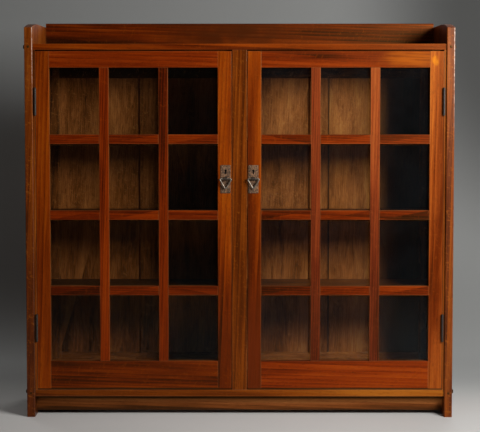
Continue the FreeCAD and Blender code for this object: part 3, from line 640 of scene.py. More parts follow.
@dataclass(frozen=True)
class Metal:
    """Metal with a mottled skin: forge scale, patina or tarnish over the bare colour.

    Attributes:
        name: what the material is called.
        bare: colour of the high spots.
        skin: colour of the skin.
        stain: colour of larger stains.
        metallic: share of bare metal.
        roughness: mean roughness of the surface.
        mottle_mm: size of the mottling.
        dent_mm: spacing of the dents.
        dent: depth of the dents as a share of 0.6 mm.
    """

    name: str
    bare: str
    skin: str
    stain: str
    metallic: float
    roughness: float
    mottle_mm: float
    dent_mm: float
    dent: float

    # Colour of the dirt and painted shade in the corners, and how much larger the stains are than the
    # mottling.
    GRIME_AND_SHADE = "#0B0805"
    STAIN_TO_MOTTLE = 2.6

    def material(self) -> Material:
        """Makes the finish.

        Returns:
            The material.
        """
        made = blank(self.name)
        tree = made.node_tree
        place = add(tree, "ShaderNodeTexCoord").outputs["Object"]
        mottle = add(tree, "ShaderNodeTexNoise", {
            "Vector": place, "Scale": 1 / mm(self.mottle_mm), "Detail": 5.0, "Roughness": 0.65}).outputs[0]
        stain_mm = self.mottle_mm * self.STAIN_TO_MOTTLE
        cloud = add(tree, "ShaderNodeTexNoise", {
            "Vector": place, "Scale": 1 / mm(stain_mm), "Detail": 3.0}).outputs[0]
        corner = add(tree, "ShaderNodeAmbientOcclusion", {"Distance": mm(3.0)}, samples=4).outputs["AO"]
        colour = linear(self.skin)
        for pattern, start, full, most, code in (
            (mottle, 0.36, 0.64, 1.0, self.bare), (cloud, 0.5, 0.66, 0.6, self.stain),
            (corner, 0.8, 0.3, 0.6, self.GRIME_AND_SHADE),
        ):
            cover = add(tree, "ShaderNodeMapRange", {0: pattern, 1: start, 2: full, 4: most}).outputs[0]
            colour = add(tree, "ShaderNodeMix", {"Factor": cover, 6: colour, 7: linear(code)},
                         data_type="RGBA").outputs[2]
        blows = add(tree, "ShaderNodeTexVoronoi", {
            "Vector": place, "Scale": 1 / mm(self.dent_mm), "Smoothness": 1.0}, feature="SMOOTH_F1")
        relief = add(tree, "ShaderNodeBump", {
            "Height": blows.outputs["Distance"], "Strength": self.dent, "Distance": mm(0.6)}).outputs[0]
        gloss = add(tree, "ShaderNodeMapRange", {
            0: mottle, 1: 0.3, 2: 0.7, 3: self.roughness + 0.12, 4: self.roughness - 0.08}).outputs[0]
        metal = add(tree, "ShaderNodeBsdfPrincipled", {
            "Base Color": colour, "Roughness": gloss, "Normal": relief, "Metallic": self.metallic})
        add(tree, "ShaderNodeOutputMaterial", {"Surface": metal.outputs[0]})
        return made


# Hammered copper has gone dull brown with black in the hollows, and keeps a soft shine on its high spots.
COPPER = Metal("hammered_copper_patinated", bare="#926A4A", skin="#150E09", stain="#382818",
               metallic=0.3, roughness=0.5, mottle_mm=4.2, dent_mm=4.6, dent=1.0)
# The plates' edges and eyes are nearly black: partly dark patina, partly painted shade under the bails.
SHADED_EYE_COPPER = Metal("hammered_copper_blackened_and_shaded", bare="#4A3A2C", skin="#100B08", stain="#241C14",
                   metallic=0.35, roughness=0.5, mottle_mm=3.0, dent_mm=3.0, dent=0.4)
# The bails are rubbed by hands, so the same copper is paler and brighter on them.
BAIL_COPPER = Metal("hammered_copper_handled", bare="#968878", skin="#463C34", stain="#4E483C",
                    metallic=0.6, roughness=0.42, mottle_mm=6.0, dent_mm=3.6, dent=0.35)
# Cast iron hinges are japanned black, with brown rubbed through where the leaves meet.
IRON = Metal("cast_iron_japanned", bare="#40362E", skin="#120E0B", stain="#2C1C12",
             metallic=0.4, roughness=0.55, mottle_mm=4.0, dent_mm=3.2, dent=0.3)
# A near-black sheet behind each keyhole stands in for the dark inside it: painted shade.
KEYHOLE_SHADE = Metal("black_keyhole_shade", bare="#0A0706", skin="#030202", stain="#080504",
             metallic=0.0, roughness=0.9, mottle_mm=3.0, dent_mm=3.0, dent=0.05)
# Cold-rolled lock parts are grey with old oil and a little brown rust.
STEEL = Metal("rolled_steel_tarnished", bare="#8B8680", skin="#55504A", stain="#5A4634",
              metallic=0.9, roughness=0.42, mottle_mm=8.0, dent_mm=6.0, dent=0.05)


def dress(node: str, finish: Material, arris: float = 0.0) -> None:
    """Gives a CAD node its finish and takes its sharp arrises off.

    Args:
        node: name of the node.
        finish: material for the whole node.
        arris: width of the rounded arris in mm, or 0 to leave the solid's own edges.
    """
    piece = frame["nodes"][node]
    piece.data.materials.clear()
    piece.data.materials.append(finish)
    if arris:
        weld = piece.modifiers.new("joined_faces", "WELD")
        weld.merge_threshold = mm(0.01)
        round_off = piece.modifiers.new("rounded_arris", "BEVEL")
        round_off.width = mm(arris)
        round_off.segments = 2
        round_off.limit_method = "ANGLE"
        round_off.angle_limit = math.radians(50)
        round_off.use_clamp_overlap = False
        even = piece.modifiers.new("even_shading", "WEIGHTED_NORMAL")
        even.keep_sharp = True
    log.info("%s: %s", node, finish.name)


def piece_from(mesh: Mesh, name: str, body: str, finish: Material) -> None:
    """Turns a built mesh into a piece that rides on a body.

    Args:
        mesh: mesh in metres in the shared frame, which is freed.
        name: name of the piece.
        body: CAD body that carries it.
        finish: material.
    """
    bmesh.ops.recalc_face_normals(mesh, faces=mesh.faces)
    data = bpy.data.meshes.new(name)
    mesh.to_mesh(data)
    mesh.free()
    data.materials.append(finish)
    made = bpy.data.objects.new(name, data)
    bpy.context.scene.collection.objects.link(made)
    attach(made, body)
    log.info("%s on %s: %s", name, body, finish.name)


def join_rings(mesh: Mesh, loops: list[list[bmesh.types.BMVert]], smooth: bool = False) -> None:
    """Joins closed loops of points one after another by quads, and caps the last one.

    Args:
        mesh: mesh that holds the points.
        loops: loops with the same number of points.
        smooth: True to shade the sides smoothly.
    """
    for low, top in zip(loops, loops[1:]):
        for i in range(len(low)):
            j = (i + 1) % len(low)
            mesh.faces.new((low[i], low[j], top[j], top[i])).smooth = smooth
    mesh.faces.new(loops[-1])


class Driver(Enum):
    """How a small fastening is made."""

    SLOTTED = "slotted"
    DOMED = "domed"


@dataclass(frozen=True)
class Fastening:
    """Screw, nail or pin head, with sizes in mm.

    Attributes:
        kind: slotted or domed.
        diameter: diameter of the head.
        proud: height over the surface.
        slot: width of the slot.
        sides: points round the rim.
    """

    kind: Driver
    diameter: float
    proud: float
    slot: float = 1.0
    sides: int = 24

    # Profiles as shares of the radius and of the height, from the rim inwards.
    DOME = ((1.0, 0.0), (0.97, 0.3), (0.78, 0.7), (0.45, 0.94), (0.12, 1.0))
    CHEEK = ((1.0, 0.0), (1.0, 0.55), (0.88, 1.0))
    # Height of the slot's floor as a share of the head's.
    SLOT_FLOOR = 0.15

    def _circle(self, mesh: Mesh, at: Matrix, radius: float, height: float) -> list[bmesh.types.BMVert]:
        """Adds a circle of points over the surface.

        Args:
            mesh: mesh that takes the points.
            at: place of the head.
            radius: radius in metres.
            height: height in metres.

        Returns:
            The points in order.
        """
        angles = (2 * math.pi * i / self.sides for i in range(self.sides))
        points = (Vector((radius * math.cos(a), radius * math.sin(a), height)) for a in angles)
        return [mesh.verts.new(at @ point) for point in points]

    def onto(self, mesh: Mesh, place: Vector, out: Vector, turn: float = 0.0) -> None:
        """Adds one head to a mesh.

        Args:
            mesh: mesh that takes the head.
            place: middle of the head on the surface, in metres.
            out: direction away from the surface.
            turn: angle of the slot in degrees.
        """
        radius, high = mm(self.diameter) / 2, mm(self.proud)
        face = out.to_track_quat("Z", "Y").to_matrix().to_4x4()
        at = Matrix.Translation(place) @ face @ Matrix.Rotation(math.radians(turn), 4, "Z")
        if self.kind is Driver.DOMED:
            rings = [self._circle(mesh, at, radius * share, high * z) for share, z in self.DOME]
            join_rings(mesh, rings, smooth=True)
            return
        half = mm(self.slot) / 2
        mesh.faces.new(self._circle(mesh, at, radius, high * self.SLOT_FLOOR))
        start, steps = math.asin(half / radius), self.sides // 2
        for cheek in (1, -1):
            rims = []
            for share, z in self.CHEEK:
                rim = []
                for i in range(steps + 1):
                    a = start + (math.pi - 2 * start) * i / steps
                    x, y = radius * share * math.cos(a), max(radius * share * math.sin(a), half)
                    rim.append(mesh.verts.new(at @ Vector((cheek * x, cheek * y, high * z))))
                rims.append(rim)
            join_rings(mesh, rims)


@dataclass
class Case:
    """Standing case: sides, boards, gallery, partition and jambs.

    Attributes:
        arris: rounding of the boards in mm.
        jamb_arris: rounding of the jambs in mm.
        left_rub_and_highlight: bare arris of the left side, with its painted highlight.
        right_rub_and_highlight: bare arris of the right side, with its painted highlight.
        heartwood: dark figure in the middle of the gallery.
        painted_toe_shadow: painted shadow at the top of the toe board, under the bottom board.
        painted_door_gap_shadow: painted shadow where the doors close over the bottom board.
    """

    arris: float = 0.9
    jamb_arris: float = 0.6
    left_rub_and_highlight: RubAndHighlight = RubAndHighlight(1130.0, 1340.0, 1.6, 0.5)
    right_rub_and_highlight: RubAndHighlight = RubAndHighlight(1000.0, 1340.0, 2.0, 0.75)
    heartwood: Patch = Patch((-40.0, 150.0, 1385.0), (400.0, 60.0, 90.0), "#3A1203")
    painted_toe_shadow: Patch = Patch((0.0, -120.0, 62.0), (3000.0, 40.0, 12.5), "#0C0502", stray=0.1)
    painted_door_gap_shadow: Patch = Patch((0.0, -147.0, 98.0), (3000.0, 14.0, 4.0), "#040201", stray=0.05)

    def dress(self) -> None:
        """Finishes every board of the case."""
        up, level = Grain.UPRIGHT, Grain.LEVEL
        for board in (
            Board("left_side", SIDE_OAK, up, -0.1, fade=Fade(up=0.2), rub_and_highlight=self.left_rub_and_highlight),
            Board("right_side", SIDE_OAK, up, 0.0, fade=Fade(up=-0.05), rub_and_highlight=self.right_rub_and_highlight),
            Board("top_board", BOARD_OAK, level, -0.08, self.arris, fade=Fade(0.05)),
            # The bottom board's patch is a painted shadow in the gap under the doors.
            Board("bottom_board", BASE_OAK, level, 0.1, self.arris, patch=self.painted_door_gap_shadow, fade=Fade(0.28)),
            # The toe board's patch is a painted shadow under the bottom board, and its fade darkens it
            # towards the floor as painted shade.
            Board("toe_board", TOE_OAK, level, -0.01, self.arris, patch=self.painted_toe_shadow,
                  fade=Fade(0.19, 24.0, level=35.0)),
            Board("gallery_board", BOARD_OAK, level, -0.16, patch=self.heartwood, fade=Fade(0.05)),
            Board("tenon_pins", PIN_OAK, Grain.DEEP, islands=True),
            Board("center_partition", BACK_OAK, up, -0.5, self.arris),
            Board("center_stile", JAMB_OAK, up, -0.03, self.arris),
            Board("left_hanging_strip", JAMB_OAK, up, 0.0, self.jamb_arris),
            Board("right_hanging_strip", JAMB_OAK, up, -0.05, self.jamb_arris),
            Board("door_stops", JAMB_OAK, level, -0.1, self.jamb_arris, islands=True),
        ):
            board.dress()


@dataclass
class Joinery:
    """End grain of the through tenons and the heads of the upper drawbored pins, in mm.

    Attributes:
        skin: how far the end grain lies over the solid.
        chamfer: width of the tenons' chamfer.
        root: how far out of the side the end grain starts.
        tenon: depth and thickness of a tenon.
        setback: from the side's front or back edge to the tenon.
        pin: diameter of a pin.
        pin_proud: height of its head.
    """

    skin: float = 0.25
    chamfer: float = 2.5
    root: float = 0.4
    tenon: tuple[float, float] = (75.0, 13.0)
    setback: float = 30.0
    pin: float = 9.4
    pin_proud: float = 0.5

    def _tenon_ends(self, grain: Material) -> None:
        """Adds the dark end grain of every tenon, as a skin over its end.

        Args:
            grain: finish of end grain.
        """
        low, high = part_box("right_side")
        mesh = bmesh.new()
        deep, thick = (mm(v / 2 + self.skin) for v in self.tenon)
        inset = mm(self.setback + self.tenon[0] / 2)
        for node in ("top_board", "bottom_board"):
            board_low, board_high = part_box(node)
            z = (board_low.z + board_high.z) / 2
            rings = ((high.x + mm(self.root), 0.0), (board_high.x - mm(self.chamfer), 0.0),
                     (board_high.x + mm(self.skin), mm(self.chamfer)))
            for y in (low.y + inset, high.y - inset):
                for hand in Hand:
                    join_rings(mesh, [[
                        mesh.verts.new((hand.side * x, y + a * (deep - draw), z + b * (thick - draw)))
                        for a, b in ((-1, -1), (1, -1), (1, 1), (-1, 1))] for x, draw in rings])
        piece_from(mesh, "tenon_end_grain", "case", grain)

    def _pin_heads(self, grain: Material) -> None:
        """Adds the domed heads of the upper pins, at the front and at the back.

        Args:
            grain: finish of end grain.
        """
        side_low, side_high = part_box("right_side")
        low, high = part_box("top_board")
        mesh = bmesh.new()
        head = Fastening(Driver.DOMED, self.pin, self.pin_proud)
        for hand in Hand:
            x = hand.side * (side_low.x + side_high.x) / 2
            for y, out in ((side_low.y, -1), (side_high.y, 1)):
                head.onto(mesh, Vector((x, y, (low.z + high.z) / 2)), Vector((0, out, 0)))
        piece_from(mesh, "upper_pin_heads", "case", grain)

    def build(self) -> None:
        """Adds the end grain of tenons and pins."""
        heads = Board("tenon_pins_heads", PIN_OAK, Grain.DEEP, islands=True, near="tenon_pins")
        grain = Plank(heads).finish()
        self._tenon_ends(grain)
        self._pin_heads(grain)


@dataclass
class Back:
    """Framed and panelled back, and the shelves with their pegs.

    Attributes:
        arris: rounding of the back's members in mm.
        shelf_arris: rounding of the shelves in mm.
        fade: change of tone from left to right.
        painted_side_shade: painted shade at the right end of the back, where the right side shades it.
        joint: open joint beside the right muntin.
    """

    arris: float = 0.5
    shelf_arris: float = 1.0
    fade: Fade = Fade(0.3)
    # Painted shade at the right end of the back, in the right side's shadow.
    painted_side_shade: Patch = Patch((670.0, 150.0, 700.0), (210.0, 90.0, 2400.0), "#160A05", stray=0.2)
    joint: Patch = Patch((342.0, 146.0, 700.0), (11.0, 90.0, 9000.0), "#080301", stray=0.1)

    def dress(self) -> None:
        """Finishes the back's members, panels, shelves and pegs."""
        up, level = Grain.UPRIGHT, Grain.LEVEL
        # The right back stile is toned darker as painted shade, in the right side's shadow.
        for node, grain, tone, patch in (
            ("back_stile_left", up, -0.06, None), ("back_stile_right", up, -0.4, None),
            ("back_muntin_left", up, -0.01, None), ("back_muntin_center", up, -0.01, None),
            ("back_muntin_right", up, -0.01, self.joint),
            ("back_rail_top", level, -0.35, None), ("back_rail_bottom", level, -0.06, None),
        ):
            Board(node, BACK_OAK, grain, tone, self.arris, patch=patch, fade=self.fade).dress()
        Board("back_panels", BACK_OAK, up, 0.07, islands=True, patch=self.painted_side_shade, fade=self.fade).dress()
        for hand in Hand:
            for height in ("lower", "middle", "upper"):
                node = f"{hand.value}_shelf_{height}"
                Board(node, SHELF_OAK, level, -0.32, self.shelf_arris, fade=self.fade).dress()
        Board("shelf_pegs", SHELF_OAK, level, -0.1, islands=True).dress()


@dataclass
class Door:
    """Glazed door of one hand, with its frame, bars, panes and beads.

    Attributes:
        hand: which door it is.
        arris: rounding of the frame in mm.
        bar_arris: rounding of the bars in mm.
        sapwood: pale spot near the top of the right hinge stile.
        flame: lighter figure at the end of the right top rail.
        foot: darker foot of the right lock stile.
        shadow: painted shadow along the bottom edge, here of the right door.
    """

    hand: Hand
    arris: float = 0.8
    bar_arris: float = 0.7
    sapwood: Patch = Patch((692.0, -159.0, 1277.0), (17.0, 40.0, 24.0), "#B4660C", solid=0.45)
    flame: Patch = Patch((610.0, -159.0, 1282.0), (150.0, 40.0, 60.0), "#8A3E03", solid=0.2)
    foot: Patch = Patch((50.0, -159.0, 200.0), (70.0, 60.0, 380.0), "#5C1D04", stray=0.5, solid=0.75)
    # Painted shadow along the doors' lower edge, where the gap under them lies in shade.
    shadow: Patch = Patch((370.0, -159.0, 101.0), (1200.0, 40.0, 7.0), "#060201", stray=0.1)

    def _planks(self) -> dict[str, dict[str, object]]:
        """Picks the wood of this door, which differs between the hands as the planks do.

        Returns:
            Finish, tone, patch and fade by piece.
        """
        # Upward fades lighten the pieces towards their tops: painted light, for the lamps falling off down
        # the doors.
        if self.hand is Hand.RIGHT:
            return {
                "hinge_stile": dict(oak=SHEEN_DOOR_OAK, tone=0.02, patch=self.sapwood, fade=Fade(up=0.08)),
                "lock_stile": dict(oak=DOOR_OAK, tone=-0.13, patch=self.foot, fade=Fade(up=0.34)),
                "top_rail": dict(oak=BAR_OAK, patch=self.flame),
                "bottom_rail": dict(oak=BAR_OAK, patch=self.shadow),
                "upright_bars": dict(oak=SHEEN_BAR_OAK, tone=-0.06, fade=Fade(up=0.2)),
                "cross_bars": dict(oak=BAR_OAK, tone=-0.16, fade=Fade(up=0.15)),
            }
        x, y, z = self.shadow.middle
        return {
            "hinge_stile": dict(oak=DOOR_OAK, tone=0.02, fade=Fade(up=0.08)),
            "lock_stile": dict(oak=DOOR_OAK, tone=0.02, fade=Fade(up=0.28)),
            "top_rail": dict(oak=BAR_OAK, tone=0.15),
            "bottom_rail": dict(oak=DOOR_OAK, tone=-0.12, patch=replace(self.shadow, middle=(-x, y, z))),
            "upright_bars": dict(oak=BAR_OAK, tone=-0.45, fade=Fade(-0.98)),
            "cross_bars": dict(oak=BAR_OAK, tone=-0.09, fade=Fade(up=0.3)),
        }

    def dress(self) -> None:
        """Finishes the door's woodwork and glass."""
        door = f"{self.hand.value}_door_"
        for piece, look in self._planks().items():
            bars = piece.endswith("bars")
            grain = Grain.LEVEL if piece in ("top_rail", "bottom_rail", "cross_bars") else Grain.UPRIGHT
            arris = self.bar_arris if bars else self.arris
            Board(door + piece, grain=grain, arris=arris, islands=bars, **look).dress()
        Board(door + "glazing_beads", SHELF_OAK, Grain.LEVEL, -0.1, islands=True).dress()
        glass = DUSTY_GLASS if self.hand is Hand.RIGHT else CLEAN_GLASS
        dress(door + "panes", glass.material())


@dataclass
class Hinges:
    """Butt hinges of one door with their countersunk slotted screws, in mm.

    Attributes:
        hand: which door they carry.
        length: length of a leaf.
        play: from the hinge line to the face of a leaf.
        head: diameter of a screw head.
        proud: height of a screw head.
        inset: from the leaf's rear edge to the screws.
        stagger: how far the middle screw lies out of line with the others.
        heights: screws from the leaf's lower end.
        slot_turn: angle of the first screw's slot, and from each slot to the next, in degrees.
    """

    hand: Hand
    length: float = 95.0
    play: float = 0.2
    head: float = 7.0
    proud: float = 0.14
    inset: float = 8.0
    stagger: float = 3.0
    heights: tuple[float, float, float] = (15.0, 47.5, 80.0)
    slot_turn: tuple[float, float] = (20.0, 35.0)

    def build(self, iron: Material) -> None:
        """Adds the screws to both leaves of each hinge.

        Args:
            iron: finish of the hinges.
        """
        screw = Fastening(Driver.SLOTTED, self.head, self.proud)
        door = f"{self.hand.value}_door"
        low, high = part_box(f"{door}_hinge_leaves")
        line = next(joint["pos_m"][0] for joint in frame["joints"] if joint["name"] == f"{door}_swing")
        for body, name, out in ((door, "door_leaf", self.hand.side), ("case", "frame_leaf", -self.hand.side)):
            mesh = bmesh.new()
            for foot in (low.z, high.z - mm(self.length)):
                for i, rise in enumerate(self.heights):
                    y = high.y - mm(self.inset + (self.stagger if i == 1 else -self.stagger / 2))
                    place = Vector((line - mm(out * self.play), y, foot + mm(rise)))
                    screw.onto(mesh, place, Vector((out, 0, 0)), self.slot_turn[0] + self.slot_turn[1] * i)
            piece_from(mesh, f"{self.hand.value}_hinge_{name}_screws", body, iron)

    def dress(self, iron: Material) -> None:
        """Finishes the door's leaves."""
        dress(f"{self.hand.value}_door_hinge_leaves", iron)


def hammered(x: float, z: float, size: float) -> float:
    """Gives the height of a hammered face: shallow bowls side by side with soft ridges between them.

    Args:
        x: place across the plate in mm.
        z: place up the plate in mm.
        size: spacing of the blows in mm.

    Returns:
        Height from 0 in the middle of a blow to about 1 on a ridge.
    """
    column, row = math.floor(x / size), math.floor(z / size)
    away = []
    for i in range(column - 1, column + 2):
        for j in range(row - 1, row + 2):
            stray = zlib.crc32(f"{i},{j}".encode())
            blow_x = (i + 0.2 + 0.6 * (stray & 255) / 255) * size
            blow_z = (j + 0.2 + 0.6 * (stray >> 8 & 255) / 255) * size
            away.append(math.hypot(x - blow_x, z - blow_z))
    return (min(away) / (0.75 * size)) ** 2


@dataclass
class Pull:
    """Hammered plate, drop bail and lock of one door, in mm.

    Attributes:
        hand: which door they are on.
        thickness: thickness of the plate.
        cell: size of the hammered face's quads.
        blow: spacing of the hammer blows.
        depth: depth of the blows.
        skin: least height of the hammered face over the plate.
        margin: plain edge round the hammered face.
        roll: width over which the face falls to its edge.
        key_rise: keyhole's middle over the plate's.
        key_radius: radius of the keyhole.
        key_slot: half of the width of its slot.
        key_drop: how far the slot goes down.
        nail: diameter of a nail head.
        nail_proud: height of a nail head.
        nail_seat: from the plate to the rim of a nail head.
        nail_inset: from the edge of the face to a nail.
        shade_plate_depth: how far the black plate of painted shade lies behind the keyhole.
        shade_plate_gap: how much smaller it is than the keyhole in radius, half of the slot and drop.
        shade_plate_rim: width and depth of its rim.
        lock_screw: diameter of the lock face's screws.
        lock_screw_proud: height of their heads.
        lock_screw_inset: from the lock's ends to its screws.
    """

    hand: Hand
    thickness: float = 2.0
    cell: float = 0.8
    blow: float = 4.4
    depth: float = 0.38
    skin: float = 0.12
    margin: float = 0.3
    roll: float = 1.4
    key_rise: float = 30.0
    key_radius: float = 4.2
    key_slot: float = 2.5
    key_drop: float = 12.0
    nail: float = 4.6
    nail_proud: float = 1.5
    nail_seat: float = 0.2
    nail_inset: float = 4.6
    shade_plate_depth: float = 9.0
    shade_plate_gap: tuple[float, float, float] = (0.8, 0.6, 1.1)
    shade_plate_rim: tuple[float, float] = (0.4, 0.5)
    lock_screw: float = 6.0
    lock_screw_proud: float = 0.2
    lock_screw_inset: float = 6.0

    def __post_init__(self) -> None:
        """Takes the plate's place and size from the frame."""
        self.name = self.hand.value
        self.door = f"{self.name}_door"
        low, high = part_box(f"{self.door}_pull_plate")
        self.middle = (low + high) / 2
        self.half_x = (high.x - low.x) * 500 - self.margin
        self.half_z = (high.z - low.z) * 500 - self.margin
        self.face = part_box(f"{self.door}_lock_stile")[0].y - mm(self.thickness)

    def _at(self, x: float, out: float, z: float) -> Vector:
        """Place in the frame, from mm across the plate, out of its face and up it."""
        return Vector((self.middle.x + mm(x), self.face - mm(out), self.middle.z + mm(z)))

    def _in_keyhole(self, x: float, z: float) -> bool:
        """Whether a point of the plate, from the keyhole's middle, lies in the keyhole."""
        return math.hypot(x, z) < self.key_radius or (abs(x) < self.key_slot and -self.key_drop < z < 0)

    def _hammered_face(self, copper: Material) -> None:
        """Adds the hammered face with its keyhole.

        Args:
            copper: finish of the plate.
        """
        mesh = bmesh.new()
        columns, rows = round(2 * self.half_x / self.cell), round(2 * self.half_z / self.cell)
        # The two plates were hammered apart from each other, so their blows differ.
        apart = 200 if self.hand is Hand.RIGHT else 0
        grid = []
        for j in range(rows + 1):
            z = -self.half_z + 2 * self.half_z * j / rows
            line = []
            for i in range(columns + 1):
                x = -self.half_x + 2 * self.half_x * i / columns
                edge = min(self.half_x - abs(x), self.half_z - abs(z))
                fall = min(1.0, edge / self.roll) ** 0.5
                lift = (self.skin + self.depth * min(1.0, hammered(x + apart, z, self.blow))) * fall
                line.append(mesh.verts.new(self._at(x, lift, z)))
            grid.append(line)
        for j in range(rows):
            z = -self.half_z + 2 * self.half_z * (j + 0.5) / rows - self.key_rise
            for i in range(columns):
                x = -self.half_x + 2 * self.half_x * (i + 0.5) / columns
                if not self._in_keyhole(x, z):
                    quad = grid[j][i], grid[j][i + 1], grid[j + 1][i + 1], grid[j + 1][i]
                    mesh.faces.new(quad).smooth = True
        bmesh.ops.delete(mesh, geom=[v for v in mesh.verts if not v.link_faces], context="VERTS")
        piece_from(mesh, f"{self.name}_pull_hammered_face", self.door, copper)

    def _nails(self, copper: Material) -> None:
        """Adds a nail in each corner of the plate.

        Args:
            copper: finish of the plate.
        """
        mesh = bmesh.new()
        head = Fastening(Driver.DOMED, self.nail, self.nail_proud)
        x, z = self.half_x - self.nail_inset, self.half_z - self.nail_inset
        for corner_x in (-x, x):
            for corner_z in (-z, z):
                head.onto(mesh, self._at(corner_x, self.nail_seat, corner_z), Vector((0, -1, 0)))
        piece_from(mesh, f"{self.name}_pull_plate_nails", self.door, copper)

    def _shade_plate(self, black: Material) -> None:
        """Adds the rimmed black plate of painted shade behind the keyhole, in the keyhole's shape and a
        little smaller.

        Args:
            black: finish of the plate.
        """
        mesh = bmesh.new()
        keyhole = self.key_radius, self.key_slot, self.key_drop
        radius, half, drop = (size - gap for size, gap in zip(keyhole, self.shade_plate_gap))
        meet, steps = math.asin(half / radius), 24
        sweep = [-math.pi / 2 + meet + (2 * math.pi - 2 * meet) * i / steps for i in range(steps + 1)]
        outline = [(radius * math.cos(a), radius * math.sin(a)) for a in sweep]
        outline += [(-half, -drop), (half, -drop)]
        mesh.faces.new([mesh.verts.new(self._at(x, -self.shade_plate_depth, z + self.key_rise)) for x, z in outline])
        width, sink = (mm(v) for v in self.shade_plate_rim)
        bmesh.ops.inset_individual(mesh, faces=list(mesh.faces), thickness=width, depth=-sink)
        piece_from(mesh, f"{self.name}_lock_keyhole_shade", self.door, black)

    def _lock_screws(self, steel: Material) -> None:
        """Adds the screws of the lock's face in the door's edge.

        Args:
            steel: finish of the lock.
        """
        low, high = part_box(f"{self.door}_lock_case")
        out = -self.hand.side
        edge = high.x if out > 0 else low.x
        mesh = bmesh.new()
        head = Fastening(Driver.SLOTTED, self.lock_screw, self.lock_screw_proud)
        for z in (low.z + mm(self.lock_screw_inset), high.z - mm(self.lock_screw_inset)):
            head.onto(mesh, Vector((edge, (low.y + high.y) / 2, z)), Vector((out, 0, 0)), turn=60.0)
        piece_from(mesh, f"{self.name}_lock_face_screws", self.door, steel)

    def build(self, copper: Material, steel: Material, black: Material) -> None:
        """Adds the hammered face, its nails, the black plate of painted shade behind the keyhole and the lock
        face's screws.

        Args:
            copper: finish of the plate.
            steel: finish of the lock.
            black: finish of the painted shade behind the keyhole.
        """
        self._hammered_face(copper)
        self._nails(copper)
        self._shade_plate(black)
        self._lock_screws(steel)

    def dress(self, copper: Material, bail: Material, steel: Material) -> None:
        """Finishes plate, bail, lock and bolt.

        Args:
            copper: finish of the plate's edges and eye, with painted shade under the bail.
            bail: finish of the bail.
            steel: finish of lock and bolt.
        """
        for piece, finish in (
            ("pull_plate", copper), ("bail", bail), ("lock_case", steel), ("lock_bolt", steel),
        ):
            dress(f"{self.door}_{piece}", finish)


@dataclass(frozen=True)
class Softbox:
    """One soft lamp: place and aim in metres, width and height in metres, power in watts."""

    name: str
    place: tuple[float, float, float]
    aim: tuple[float, float, float]
    size: tuple[float, float]
    power: float

    def hang(self) -> None:
        """Adds the lamp to the scene."""
        data = bpy.data.lights.new(f"{self.name}_softbox", "AREA")
        data.shape = "RECTANGLE"
        data.size, data.size_y = self.size
        data.energy = self.power
        lamp = bpy.data.objects.new(data.name, data)
        lamp.location = self.place
        lamp.rotation_euler = (Vector(self.aim) - Vector(self.place)).to_track_quat("-Z", "Y").to_euler()
        bpy.context.scene.collection.objects.link(lamp)
        log.info("%s", lamp.name)


